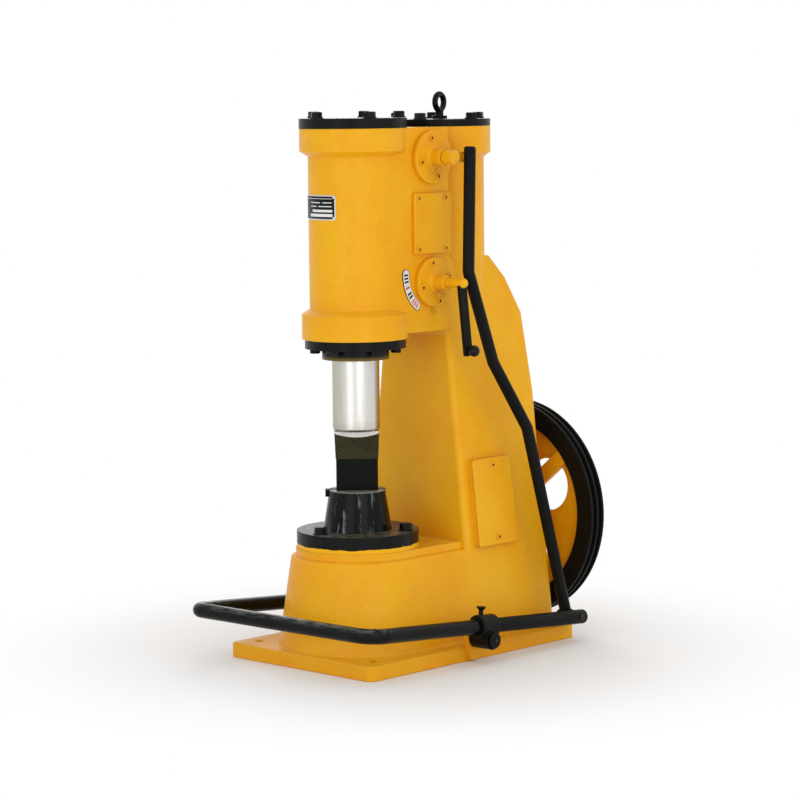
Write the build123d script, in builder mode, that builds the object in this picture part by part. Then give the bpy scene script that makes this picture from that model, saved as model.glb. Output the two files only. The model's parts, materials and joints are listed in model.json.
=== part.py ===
from build123d import *

import os
from math import atan, cos, degrees, hypot, radians, sin

# Lengths are in millimetres and angles in degrees.
# The origin is on the floor under the ram axis, with the working front towards -Y.

# Shared clearances
overrun = 6
fit_gap = 0.05
sliding_gap = 0.3
side_gap = 2
select_tolerance = 0.5

# Base plate of the casting
base_width = 434
base_front = 186
base_rear = 479
base_thickness = 32
base_corner_radius = 16
base_edge_radius = 4
foundation_hole_radius = 9
front_hole_spacing = 348
front_hole_inset = 50
rear_hole_spacing = 398
rear_hole_inset = 36

# Pedestal under the anvil, a half round that runs back into the column
pedestal_foot_radius = 176
pedestal_shoulder_radius = 146
pedestal_shoulder_height = 230
pedestal_shoulder_rounding = 9
pedestal_foot_rounding = 5
anvil_seat_radius = 136
anvil_seat_height = 247

# Column and crankcase
column_front = 188
column_rear = 460
column_foot_half_width = 174
column_head_half_width = 99
column_knee_height = 560
column_shoulder_reach = 444
column_shoulder_height = 736
column_haunch_reach = 400
column_haunch_height = 817
column_roof_reach = 352
column_roof_height = 869
column_corner_radius = 13

# Cylinder block
cylinder_spacing = 276
front_cylinder_radius = 98.5
rear_cylinder_radius = 98
cylinder_bore_radius = 70
cylinder_top = 1158
cylinder_bottom = 703
top_flange_radius = 116.5
top_flange_height = 49
rear_flange_radius = 113
rear_flange_height = 58
lower_flange_radius = 116
lower_flange_height = 54
flange_slope_height = 11

# Valve chest between the two cylinders
chest_half_width = 101
chest_front = 74
chest_rear = 198
chest_underside = 714
chest_corner_radius = 8
chest_arch_radius = 16

# Cylinder covers and ram gland
front_cover_radius = 117
front_cover_thickness = 22
rear_cover_radius = 113
rear_cover_thickness = 16
cover_edge_radius = 2
lower_cover_radius = 110
lower_cover_thickness = 20.5
gland_radius = 73
gland_height = 24

# Lifting eye
eye_ring_radius = 17.5
eye_wire_radius = 6.5
eye_collar_radius = 17
eye_collar_height = 7
eye_neck_radius = 9
eye_turn_angle = 10
eye_top_height = 61

# Valve flanges, spindles and chest cover
valve_axis_y = 137
upper_valve_drop = 65
lower_valve_rise = 108
upper_flange_radius = 58
lower_valve_flange_radius = 54
valve_flange_thickness = 12
valve_flange_edge = 4
boss_root_radius = 8
boss_end_radius = 2
upper_boss_radius = 19
upper_boss_length = 30
lower_boss_radius = 16
lower_boss_length = 36
upper_spindle_radius = 8.5
lower_spindle_radius = 11
spindle_depth = 20
lower_spindle_end = 204
chest_cover_front = 77
chest_cover_rear = 194
chest_cover_lower_gap = 8
chest_cover_upper_gap = 19
chest_cover_thickness = 8
chest_cover_corner = 5
chest_cover_edge = 2
blank_cap_recess_radius = 30
blank_cap_recess_depth = 3

# Crankcase access covers
access_cover_front = 215
access_cover_rear = 341
access_cover_bottom = 230
access_cover_top = 424
access_boss_thickness = 9
access_cover_thickness = 7
access_cover_corner = 7
access_cover_edge = 2

# Anvil ring, die holder and dies
anvil_ring_radius = 133.5
anvil_ring_height = 37.5
anvil_ring_edge = 2
holder_root_radius = 76
holder_foot_radius = 75
holder_neck_radius = 63.5
holder_neck_height = 110
holder_collar_radius = 62
key_height = 15
key_width = 24
key_left_reach = 70
key_right_reach = 62
die_angle = 45
lower_die_length = 91
lower_die_width = 52
lower_die_height = 69
lower_die_corner = 5
upper_die_length = 93
upper_die_width = 54
upper_die_top_length = 98
upper_die_top_width = 58
upper_die_height = 60.5
die_gap = 0.5

# Ram
ram_radius = 51.5
ram_nose_radius = 47.5
ram_nose_height = 5
ram_rod_length = 218
piston_height = 66
piston_groove_depth = 4
piston_groove_width = 5
piston_groove_pitch = 16

# Crankshaft and flywheel
wheel_axis_height = 275
wheel_radius = 250
wheel_front = 500
wheel_width = 45
rim_inner_radius = 205
groove_pitch = 19
groove_top_width = 14
groove_bottom_width = 7
groove_depth = 12
rim_edge = 3
web_setback = 16
web_thickness = 12
web_hole_radius = 60
web_hole_pitch_radius = 122
web_hole_angle = 30
wheel_arm_width = 34
wheel_arm_angle = 39.5
wheel_arm_setback = 4
hub_radius = 52
hub_rear_reach = 10
shaft_radius = 25
shaft_pocket_radius = 34
shaft_pocket_depth = 60
bearing_cap_radius = 84
bearing_cap_thickness = 12
bearing_boss_radius = 58
bearing_boss_thickness = 24
bearing_cap_edge = 3
end_plate_radius = 38
end_plate_thickness = 7

# Pedal loop with its rocker blocks
pedal_half_width = 257
pedal_front_reach = 228
pedal_front_height = 107
pedal_tube_radius = 16.5
pedal_left_skew = 20
pedal_left_bend_radius = 20
pedal_right_bend_radius = 46
pedal_pivot_y = 127
pedal_pivot_height = 52
pedal_collar_height = 80
pedal_collar_radius = 26
pedal_collar_length = 54
pedal_collar_edge = 4
pedal_stub = 10
rear_bar_radius = 16
rear_bar_reach = 458
pivot_hub_radius = 21
pivot_hub_outer = 25
pivot_stud_radius = 10
pivot_cap_radius = 17
pivot_cap_thickness = 6
bracket_thickness = 12
bracket_half_width = 24
bracket_foot_half_width = 12
bracket_foot_height = 3
clamp_screw_radius = 5
clamp_screw_rise = 18
clamp_head_radius = 10.5
clamp_head_height = 8

# Link rod between the pedal and the upper valve
link_radius = 13
link_pin_y = 438
link_pin_height = 57
link_pin_radius = 7
link_pin_head_radius = 11
link_pin_head_height = 4
link_foot_x = 226
link_bend_height = 488
link_bend_y = 344
link_bend_x = 194
link_elbow_height = 641
link_elbow_y = 253
link_knee_height = 844
link_knee_y = 175
link_head_x = 175
link_corner_radius = 26
link_eye_radius = 15.5
link_eye_width = 22
link_eye_wall = 4
link_head_rise = 23
link_head_rounding = 6

# Upper valve crank
crank_reach = 46
crank_arm_thickness = 11
crank_hub_length = 28
crank_hub_radius = 15.5
crank_eye_radius = 11
crank_pin_radius = 6
crank_pin_play = 3

# Lower valve hand lever
lever_width = 21
lever_thickness = 9
lever_length = 160
lever_lean = 7
lever_inset = 15
lever_end_rounding = 4
knob_radius = 12.5
knob_stem_radius = 5
knob_stem_length = 14
knob_drop = 24

# Derived places
base_length = base_front + base_rear
base_centre_y = (base_rear - base_front) / 2
pedestal_rise = pedestal_shoulder_height - base_thickness
pedestal_draft = degrees(atan((pedestal_foot_radius - pedestal_shoulder_radius) / pedestal_rise))
pedestal_back = (column_front + column_rear) / 2
column_slope = (column_foot_half_width - column_head_half_width) / (chest_underside - base_thickness)
column_draft = atan(column_slope)
top_flange_underside = cylinder_top - top_flange_height
rear_flange_underside = cylinder_top - rear_flange_height
lower_flange_top = cylinder_bottom + lower_flange_height
rear_cover_top = cylinder_top + rear_cover_thickness
gland_bottom = cylinder_bottom - lower_cover_thickness - gland_height
holder_neck_top = anvil_seat_height + holder_neck_height
lower_die_bottom = holder_neck_top + key_height
lower_die_top = lower_die_bottom + lower_die_height
upper_die_bottom = lower_die_top + die_gap
ram_bottom = upper_die_bottom + upper_die_height
piston_bottom = ram_bottom + ram_rod_length
piston_top = piston_bottom + piston_height
upper_valve_height = cylinder_top - upper_valve_drop
lower_valve_height = chest_underside + lower_valve_rise
chest_cover_bottom = lower_valve_height + lower_valve_flange_radius + chest_cover_lower_gap
chest_cover_top = upper_valve_height - upper_flange_radius - chest_cover_upper_gap
valve_flange_face = chest_half_width + valve_flange_thickness
wheel_rear = wheel_front + wheel_width
web_front = wheel_front + web_setback
hub_front = wheel_front
hub_rear = wheel_rear + hub_rear_reach
pedal_tilt = atan((pedal_front_height - pedal_collar_height) / (pedal_front_reach + pedal_pivot_y))
bracket_face = base_width / 2 + bracket_thickness
hub_inner_face = bracket_face + side_gap
hub_outer_face = pedal_half_width + pivot_hub_outer
upper_boss_face = valve_flange_face + upper_boss_length
crank_inner_face = upper_boss_face + side_gap

RIGHT_VALVE_PLANE = Plane.YZ.offset(chest_half_width)
RAM_AXIS = Axis.Z
DIE_PLANE = Plane(
    origin=(0, 0, 0),
    x_dir=(cos(radians(die_angle)), sin(radians(die_angle)), 0),
    z_dir=(0, 0, 1),
)
REAR_AXIS = Axis((0, cylinder_spacing, 0), (0, 0, 1))
WHEEL_AXIS = Axis((0, 0, wheel_axis_height), (0, 1, 0))
PEDAL_PLANE = Plane(
    origin=(0, pedal_pivot_y, pedal_collar_height),
    x_dir=(1, 0, 0),
    z_dir=(0, sin(pedal_tilt), cos(pedal_tilt)),
)


def column_half_width(height):
    """Half width of the tapered column at a height above the floor."""
    return column_head_half_width + column_slope * (chest_underside - height)


def pedestal_outline(radius):
    """Half round about the ram axis with straight sides that run back into the column."""
    with BuildSketch() as outline:
        with BuildLine():
            CenterArc((0, 0), radius, 180, 180)
            Polyline((radius, 0), (radius, pedestal_back), (-radius, pedestal_back), (-radius, 0))
        make_face()
    return outline.sketch


def save(piece, name):
    """Label a finished piece and write it as one STEP file."""
    piece.part.label = name
    export_step(piece.part, f"parts/{name}.step")


os.makedirs("parts", exist_ok=True)

# Column: rounded sections lofted from the foot over the knee to the shoulders
column_sections = (
    (base_thickness / 2, column_rear),
    (column_knee_height, column_rear),
    (column_shoulder_height, column_shoulder_reach),
    (column_haunch_height, column_haunch_reach),
    (column_roof_height, column_roof_reach),
)
with BuildPart() as column:
    for lower_section, upper_section in zip(column_sections, column_sections[1:]):
        for section_height, section_rear in (lower_section, upper_section):
            with BuildSketch(Plane.XY.offset(section_height)):
                with Locations((0, (column_front + section_rear) / 2)):
                    RectangleRounded(
                        2 * column_half_width(section_height),
                        section_rear - column_front,
                        column_corner_radius,
                    )
        loft(ruled=True)

# Cylinder block: two round cylinders with the valve chest, which runs flush into the front one
with BuildPart() as cylinder_block:
    with BuildSketch(Plane.XY.offset(chest_underside)):
        Circle(front_cylinder_radius)
        with Locations((0, cylinder_spacing)):
            Circle(rear_cylinder_radius)
        Polygon(
            (front_cylinder_radius, 0),
            (chest_half_width, chest_front),
            (chest_half_width, chest_rear),
            (-chest_half_width, chest_rear),
            (-chest_half_width, chest_front),
            (-front_cylinder_radius, 0),
            align=None,
        )
    extrude(amount=cylinder_top - chest_underside)
    upright_edges = edges().filter_by(Axis.Z).filter_by(
        lambda edge: abs(edge.center().Y - chest_rear) < select_tolerance
    )
    valley_edges = upright_edges.filter_by(
        lambda edge: abs(edge.center().X) < chest_half_width - select_tolerance
    )
    corner_edges = upright_edges.filter_by(
        lambda edge: abs(edge.center().X) > chest_half_width - select_tolerance
    )
    fillet(valley_edges + corner_edges, chest_corner_radius)

# Frame casting: base plate, pedestal, column, cylinders and valve chest in one piece
with BuildPart() as frame_casting:
    with BuildSketch():
        with Locations((0, base_centre_y)):
            RectangleRounded(base_width, base_length, base_corner_radius)
    extrude(amount=base_thickness)
    fillet(faces().sort_by(Axis.Z)[-1].edges(), base_edge_radius)
    with BuildSketch(Plane.XY.offset(base_thickness)):
        add(pedestal_outline(pedestal_foot_radius))
    extrude(amount=pedestal_rise, taper=pedestal_draft)
    fillet(faces().sort_by(Axis.Z)[-1].edges(), pedestal_shoulder_rounding)
    pedestal_foot = edges().filter_by_position(Axis.Z, base_thickness, base_thickness).filter_by(
        lambda edge: abs(edge.center().X) < pedestal_foot_radius + select_tolerance
        and edge.center().Y > -pedestal_foot_radius - select_tolerance
        and edge.center().Y < pedestal_back - select_tolerance
    )
    fillet(pedestal_foot, pedestal_foot_rounding)
    with BuildSketch(Plane.XY.offset(pedestal_shoulder_height)):
        add(pedestal_outline(anvil_seat_radius))
    extrude(amount=anvil_seat_height - pedestal_shoulder_height)
    add(column.part)

    add(cylinder_block.part)

    # Rounded arch where the column meets the underside of the chest
    with BuildSketch(Plane.YZ):
        with BuildLine():
            arch = CenterArc(
                (column_front - chest_arch_radius, chest_underside - chest_arch_radius),
                chest_arch_radius,
                0,
                90,
            )
            Polyline(
                arch @ 1,
                (column_front - chest_arch_radius, chest_underside + overrun),
                (column_front + overrun, chest_underside + overrun),
                (column_front + overrun, chest_underside - chest_arch_radius),
                arch @ 0,
            )
        make_face()
    extrude(amount=column_head_half_width - side_gap, both=True)

    # Flanges of the two cylinders, each with a sloped shoulder
    with BuildSketch(Plane.XZ):
        Polygon(
            (0, cylinder_top),
            (top_flange_radius, cylinder_top),
            (top_flange_radius, top_flange_underside),
            (front_cylinder_radius, top_flange_underside - flange_slope_height),
            (0, top_flange_underside - flange_slope_height),
            align=None,
        )
        Polygon(
            (0, cylinder_bottom),
            (lower_flange_radius, cylinder_bottom),
            (lower_flange_radius, lower_flange_top),
            (front_cylinder_radius, lower_flange_top + flange_slope_height),
            (0, lower_flange_top + flange_slope_height),
            align=None,
        )
    revolve(axis=RAM_AXIS)
    with BuildSketch(Plane.XZ.offset(-cylinder_spacing)):
        Polygon(
            (0, cylinder_top),
            (rear_flange_radius, cylinder_top),
            (rear_flange_radius, rear_flange_underside),
            (rear_cylinder_radius, rear_flange_underside - flange_slope_height),
            (0, rear_flange_underside - flange_slope_height),
            align=None,
        )
    revolve(axis=REAR_AXIS)

    # Raised bosses for the access covers, square to the tapered sides
    access_middle = (access_cover_bottom + access_cover_top) / 2
    access_plane = Plane(
        origin=(
            column_half_width(access_middle),
            (access_cover_front + access_cover_rear) / 2,
            access_middle,
        ),
        x_dir=(0, 1, 0),
        z_dir=(cos(column_draft), 0, sin(column_draft)),
    )
    access_width = access_cover_rear - access_cover_front
    access_height = access_cover_top - access_cover_bottom
    with BuildSketch(access_plane.offset(-overrun)) as access_outline:
        RectangleRounded(access_width, access_height, access_cover_corner)
    access_boss = extrude(amount=access_boss_thickness + overrun)
    mirror(access_boss, about=Plane.YZ)

    # Cylinder bore, shaft pocket, valve bores and foundation holes
    with Locations((0, 0, cylinder_top)):
        Hole(cylinder_bore_radius, depth=cylinder_top - cylinder_bottom)
    with Locations(Plane(origin=(0, column_rear, wheel_axis_height), z_dir=(0, 1, 0))):
        Hole(shaft_pocket_radius, depth=shaft_pocket_depth)
    for valve_height, spindle_radius in (
        (upper_valve_height, upper_spindle_radius),
        (lower_valve_height, lower_spindle_radius),
    ):
        with Locations(Plane(origin=(chest_half_width, valve_axis_y, valve_height), z_dir=(1, 0, 0))):
            Hole(spindle_radius + side_gap, depth=spindle_depth + side_gap)
    front_hole_y = front_hole_inset - base_front
    rear_hole_y = base_rear - rear_hole_inset
    for hole_y, hole_spacing in ((front_hole_y, front_hole_spacing), (rear_hole_y, rear_hole_spacing)):
        hole_x = hole_spacing / 2
        with Locations((-hole_x, hole_y, base_thickness), (hole_x, hole_y, base_thickness)):
            Hole(foundation_hole_radius, depth=base_thickness)
save(frame_casting, "frame_casting")

# Front cylinder cover
with BuildPart() as front_cylinder_cover:
    with BuildSketch(Plane.XY.offset(cylinder_top)):
        Circle(front_cover_radius)
    extrude(amount=front_cover_thickness)
    fillet(edges().sort_by(Axis.Z)[-1], cover_edge_radius)
save(front_cylinder_cover, "front_cylinder_cover")

# Rear cylinder cover
with BuildPart() as rear_cylinder_cover:
    with BuildSketch(Plane.XY.offset(cylinder_top)):
        with Locations((0, cylinder_spacing)):
            Circle(rear_cover_radius)
    extrude(amount=rear_cover_thickness)
    fillet(edges().sort_by(Axis.Z)[-1], cover_edge_radius)
save(rear_cylinder_cover, "rear_cylinder_cover")

# Lower cylinder cover with the ram guide bore
with BuildPart() as lower_cylinder_cover:
    with BuildSketch(Plane.XY.offset(cylinder_bottom - lower_cover_thickness)):
        Circle(lower_cover_radius)
        Circle(ram_radius + sliding_gap, mode=Mode.SUBTRACT)
    extrude(amount=lower_cover_thickness)
save(lower_cylinder_cover, "lower_cylinder_cover")

# Ram gland under the lower cover
with BuildPart() as ram_gland:
    with BuildSketch(Plane.XY.offset(gland_bottom)):
        Circle(gland_radius)
        Circle(ram_radius + sliding_gap, mode=Mode.SUBTRACT)
    extrude(amount=gland_height)
save(ram_gland, "ram_gland")

# Lifting eye on the rear cover
eye_centre = rear_cover_top + eye_top_height - eye_ring_radius - eye_wire_radius
with BuildPart() as lifting_eye:
    with BuildSketch(Plane.XY.offset(rear_cover_top)):
        with Locations((0, cylinder_spacing)):
            Circle(eye_collar_radius)
    extrude(amount=eye_collar_height)
    with BuildSketch(Plane.XY.offset(rear_cover_top)):
        with Locations((0, cylinder_spacing)):
            Circle(eye_neck_radius)
    extrude(amount=eye_centre - eye_ring_radius - rear_cover_top)
    with Locations(Plane(
        origin=(0, cylinder_spacing, eye_centre),
        z_dir=(cos(radians(eye_turn_angle)), sin(radians(eye_turn_angle)), 0),
    )):
        Torus(eye_ring_radius, eye_wire_radius)
save(lifting_eye, "lifting_eye")


def valve_flange(height, flange_radius, boss_radius, boss_length, spindle_radius):
    """Round bolted flange on the right of the chest, with a boss that guides the spindle."""
    centre = (valve_axis_y, height)
    with BuildPart() as flange:
        with BuildSketch(RIGHT_VALVE_PLANE):
            with Locations(centre):
                Circle(flange_radius)
        extrude(amount=valve_flange_thickness)
        fillet(edges().sort_by(Axis.X)[-1], valve_flange_edge)
        with BuildSketch(RIGHT_VALVE_PLANE.offset(valve_flange_thickness)):
            with Locations(centre):
                Circle(boss_radius)
        extrude(amount=boss_length)
        fillet(edges().sort_by(Axis.X)[-1], boss_end_radius)
        boss_root = edges().filter_by(GeomType.CIRCLE).filter_by(
            lambda edge: abs(edge.center().X - valve_flange_face) < select_tolerance
            and abs(edge.radius - boss_radius) < select_tolerance
        )
        fillet(boss_root, boss_root_radius)
        with BuildSketch(RIGHT_VALVE_PLANE):
            with Locations(centre):
                Circle(spindle_radius + fit_gap)
        extrude(amount=valve_flange_thickness + boss_length, mode=Mode.SUBTRACT)
    return flange


def blank_cap(height, flange_radius):
    """Plain round cap on the left of the chest, with a shallow recess in its face."""
    centre = (valve_axis_y, height)
    with BuildPart() as cap:
        with BuildSketch(RIGHT_VALVE_PLANE):
            with Locations(centre):
                Circle(flange_radius)
        extrude(amount=valve_flange_thickness)
        fillet(edges().sort_by(Axis.X)[-1], valve_flange_edge)
        with BuildSketch(RIGHT_VALVE_PLANE.offset(valve_flange_thickness)):
            with Locations(centre):
                Circle(blank_cap_recess_radius)
        extrude(amount=-blank_cap_recess_depth, mode=Mode.SUBTRACT)
    with BuildPart() as turned:
        mirror(cap.part, about=Plane.YZ)
    return turned


upper_valve_flange = valve_flange(
    upper_valve_height, upper_flange_radius, upper_boss_radius, upper_boss_length, upper_spindle_radius
)
save(upper_valve_flange, "upper_valve_flange")
lower_valve_flange = valve_flange(
    lower_valve_height, lower_valve_flange_radius, lower_boss_radius, lower_boss_length, lower_spindle_radius
)
save(lower_valve_flange, "lower_valve_flange")
save(blank_cap(upper_valve_height, upper_flange_radius), "left_upper_valve_cap")
save(blank_cap(lower_valve_height, lower_valve_flange_radius), "left_lower_valve_cap")

# Rectangular valve chest covers on both sides
with BuildPart() as right_chest_cover:
    with BuildSketch(RIGHT_VALVE_PLANE):
        with Locations((
            (chest_cover_front + chest_cover_rear) / 2,
            (chest_cover_bottom + chest_cover_top) / 2,
        )):
            RectangleRounded(
                chest_cover_rear - chest_cover_front,
                chest_cover_top - chest_cover_bottom,
                chest_cover_corner,
            )
    extrude(amount=chest_cover_thickness)
    fillet(faces().sort_by(Axis.X)[-1].edges(), chest_cover_edge)
save(right_chest_cover, "right_chest_cover")
with BuildPart() as left_chest_cover:
    mirror(right_chest_cover.part, about=Plane.YZ)
save(left_chest_cover, "left_chest_cover")

# Access covers of the crankcase
with BuildPart() as right_access_cover:
    with BuildSketch(access_plane.offset(access_boss_thickness)):
        RectangleRounded(access_width, access_height, access_cover_corner)
    extrude(amount=access_cover_thickness)
    fillet(faces().sort_by(Axis.X)[-1].edges(), access_cover_edge)
save(right_access_cover, "right_access_cover")
with BuildPart() as left_access_cover:
    mirror(right_access_cover.part, about=Plane.YZ)
save(left_access_cover, "left_access_cover")

# Anvil ring that clamps the die holder to the pedestal
with BuildPart() as anvil_ring:
    with BuildSketch(Plane.XY.offset(anvil_seat_height)):
        Circle(anvil_ring_radius)
        Circle(holder_root_radius + fit_gap, mode=Mode.SUBTRACT)
    extrude(amount=anvil_ring_height)
    fillet(faces().sort_by(Axis.Z)[-1].outer_wire().edges(), anvil_ring_edge)
save(anvil_ring, "anvil_ring")

# Die holder: a truncated cone with a keyway across its collar
with BuildPart() as die_holder:
    with BuildSketch(Plane.XZ):
        Polygon(
            (0, anvil_seat_height),
            (holder_root_radius, anvil_seat_height),
            (holder_root_radius, anvil_seat_height + anvil_ring_height),
            (holder_foot_radius, anvil_seat_height + anvil_ring_height),
            (holder_neck_radius, holder_neck_top),
            (holder_collar_radius, lower_die_bottom),
            (0, lower_die_bottom),
            align=None,
        )
    revolve(axis=RAM_AXIS)
    with BuildSketch(DIE_PLANE.offset(lower_die_bottom)):
        Rectangle(2 * holder_neck_radius + 2 * overrun, key_width + 2 * fit_gap)
    extrude(amount=-key_height, mode=Mode.SUBTRACT)
save(die_holder, "die_holder")

# Key that locks the lower die
with BuildPart() as lower_die_key:
    with BuildSketch(DIE_PLANE.offset(holder_neck_top)):
        with Locations(((key_right_reach - key_left_reach) / 2, 0)):
            Rectangle(key_left_reach + key_right_reach, key_width)
    extrude(amount=key_height)
save(lower_die_key, "lower_die_key")

# Lower die, set across the throat at an angle so that long bars clear the column
with BuildPart() as lower_die:
    with BuildSketch(DIE_PLANE.offset(lower_die_bottom)):
        RectangleRounded(lower_die_length, lower_die_width, lower_die_corner)
    extrude(amount=lower_die_height)
save(lower_die, "lower_die")

# Upper die, slightly wider where it joins the ram
with BuildPart() as upper_die:
    with BuildSketch(DIE_PLANE.offset(upper_die_bottom)):
        RectangleRounded(upper_die_length, upper_die_width, lower_die_corner)
    with BuildSketch(DIE_PLANE.offset(ram_bottom)):
        RectangleRounded(upper_die_top_length, upper_die_top_width, lower_die_corner)
    loft()
save(upper_die, "upper_die")

# Ram: the bright rod with its grooved piston inside the cylinder
piston_radius = cylinder_bore_radius - sliding_gap
with BuildPart() as ram:
    with BuildSketch(Plane.XZ):
        Polygon(
            (0, ram_bottom),
            (ram_nose_radius, ram_bottom),
            (ram_radius, ram_bottom + ram_nose_height),
            (ram_radius, piston_bottom),
            (piston_radius, piston_bottom),
            (piston_radius, piston_top),
            (0, piston_top),
            align=None,
        )
        groove_middle = (piston_bottom + piston_top) / 2
        for groove_step in (-1, 0, 1):
            with Locations((piston_radius, groove_middle + groove_step * piston_groove_pitch)):
                Rectangle(2 * piston_groove_depth, piston_groove_width, mode=Mode.SUBTRACT)
    revolve(axis=RAM_AXIS)
save(ram, "ram")

# Rear bearing cap round the crankshaft
with BuildPart() as rear_bearing_cap:
    with BuildSketch(Plane.XZ.offset(-column_rear)):
        with Locations((0, wheel_axis_height)):
            Circle(bearing_cap_radius)
    extrude(amount=-bearing_cap_thickness)
    fillet(edges().sort_by(Axis.Y)[-1], bearing_cap_edge)
    with BuildSketch(Plane.XZ.offset(-column_rear)):
        with Locations((0, wheel_axis_height)):
            Circle(bearing_boss_radius)
    extrude(amount=-bearing_boss_thickness)
    fillet(edges().sort_by(Axis.Y)[-1], bearing_cap_edge)
    with BuildSketch(Plane.XZ.offset(-column_rear)):
        with Locations((0, wheel_axis_height)):
            Circle(shaft_radius + fit_gap)
    extrude(amount=-bearing_boss_thickness, mode=Mode.SUBTRACT)
save(rear_bearing_cap, "rear_bearing_cap")

# Crankshaft end that carries the flywheel
shaft_front = column_rear - shaft_pocket_depth + side_gap
with BuildPart() as crankshaft:
    with BuildSketch(Plane.XZ.offset(-shaft_front)):
        with Locations((0, wheel_axis_height)):
            Circle(shaft_radius)
    extrude(amount=shaft_front - hub_rear)
save(crankshaft, "crankshaft")

# Flywheel rim with two belt grooves, turned about the shaft
with BuildPart() as flywheel_rim:
    groove_middle_y = (wheel_front + wheel_rear) / 2
    rim_points = [(rim_inner_radius, wheel_front), (wheel_radius, wheel_front)]
    for groove_step in (-1, 1):
        groove_y = groove_middle_y + groove_step * groove_pitch / 2
        rim_points += [
            (wheel_radius, groove_y - groove_top_width / 2),
            (wheel_radius - groove_depth, groove_y - groove_bottom_width / 2),
            (wheel_radius - groove_depth, groove_y + groove_bottom_width / 2),
            (wheel_radius, groove_y + groove_top_width / 2),
        ]
    rim_points += [(wheel_radius, wheel_rear), (rim_inner_radius, wheel_rear)]
    with BuildSketch(Plane.XY.offset(wheel_axis_height)):
        Polygon(*rim_points, align=None)
    revolve(axis=WHEEL_AXIS)
    fillet(edges().group_by(Axis.Y)[0] + edges().group_by(Axis.Y)[-1], rim_edge)
save(flywheel_rim, "flywheel_rim")

# Flywheel centre: web with round windows, flat arms in front of it, and the hub
WEB_PLANE = Plane(origin=(0, web_front, wheel_axis_height), x_dir=(1, 0, 0), z_dir=(0, -1, 0))
web_radius = rim_inner_radius - fit_gap
with BuildPart() as flywheel_centre:
    with BuildSketch(WEB_PLANE):
        Circle(web_radius)
        with PolarLocations(web_hole_pitch_radius, 4, start_angle=web_hole_angle):
            Circle(web_hole_radius, mode=Mode.SUBTRACT)
    extrude(amount=-web_thickness)
    with BuildSketch(WEB_PLANE):
        with PolarLocations(web_radius / 2, 4, start_angle=wheel_arm_angle):
            Rectangle(web_radius, wheel_arm_width)
        Circle(web_radius, mode=Mode.INTERSECT)
    extrude(amount=web_setback - wheel_arm_setback)
    with BuildSketch(WEB_PLANE.offset(web_front - hub_front)):
        Circle(hub_radius)
    extrude(amount=hub_front - hub_rear)
    with BuildSketch(WEB_PLANE.offset(web_front - hub_front)):
        Circle(shaft_radius + fit_gap)
    extrude(amount=hub_front - hub_rear, mode=Mode.SUBTRACT)
save(flywheel_centre, "flywheel_centre")

# End plate that holds the flywheel on the shaft
with BuildPart() as flywheel_end_plate:
    with BuildSketch(Plane.XZ.offset(-hub_rear)):
        with Locations((0, wheel_axis_height)):
            Circle(end_plate_radius)
    extrude(amount=-end_plate_thickness)
    fillet(edges().sort_by(Axis.Y)[-1], cover_edge_radius)
save(flywheel_end_plate, "flywheel_end_plate")

# Pedal brackets on the sides of the base plate, each with its pivot stud
with BuildPart() as right_pedal_bracket:
    with BuildSketch(Plane.YZ.offset(base_width / 2)):
        with Locations((pedal_pivot_y, pedal_pivot_height)):
            Circle(bracket_half_width)
        Polygon(
            (pedal_pivot_y - bracket_half_width, pedal_pivot_height),
            (pedal_pivot_y - bracket_foot_half_width, bracket_foot_height),
            (pedal_pivot_y + bracket_foot_half_width, bracket_foot_height),
            (pedal_pivot_y + bracket_half_width, pedal_pivot_height),
            align=None,
        )
    extrude(amount=bracket_thickness)
    with BuildSketch(Plane.YZ.offset(bracket_face)):
        with Locations((pedal_pivot_y, pedal_pivot_height)):
            Circle(pivot_stud_radius)
    extrude(amount=hub_outer_face + side_gap - bracket_face)
save(right_pedal_bracket, "right_pedal_bracket")
with BuildPart() as left_pedal_bracket:
    mirror(right_pedal_bracket.part, about=Plane.YZ)
save(left_pedal_bracket, "left_pedal_bracket")

# Caps on the ends of the pivot studs
with BuildPart() as right_pivot_cap:
    with BuildSketch(Plane.YZ.offset(hub_outer_face + side_gap)):
        with Locations((pedal_pivot_y, pedal_pivot_height)):
            Circle(pivot_cap_radius)
    extrude(amount=pivot_cap_thickness)
    fillet(edges().sort_by(Axis.X)[-1], cover_edge_radius)
save(right_pivot_cap, "right_pivot_cap")
with BuildPart() as left_pivot_cap:
    mirror(right_pivot_cap.part, about=Plane.YZ)
save(left_pivot_cap, "left_pivot_cap")

# Pedal loop: one bent tube round the front of the pedestal
pedal_front_run = hypot(pedal_front_reach + pedal_pivot_y, pedal_front_height - pedal_collar_height)
with BuildPart() as pedal_loop:
    with BuildLine(PEDAL_PLANE) as pedal_path:
        FilletPolyline(
            (-pedal_half_width, pedal_collar_length / 2 + pedal_stub),
            (-pedal_half_width, -pedal_front_run - pedal_left_skew),
            (pedal_half_width, -pedal_front_run),
            (pedal_half_width, 0),
            radius=(pedal_left_bend_radius, pedal_right_bend_radius),
        )
    with BuildSketch(Plane(origin=pedal_path.line @ 0, z_dir=pedal_path.line % 0)):
        Circle(pedal_tube_radius)
    sweep()
save(pedal_loop, "pedal_loop")

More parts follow.
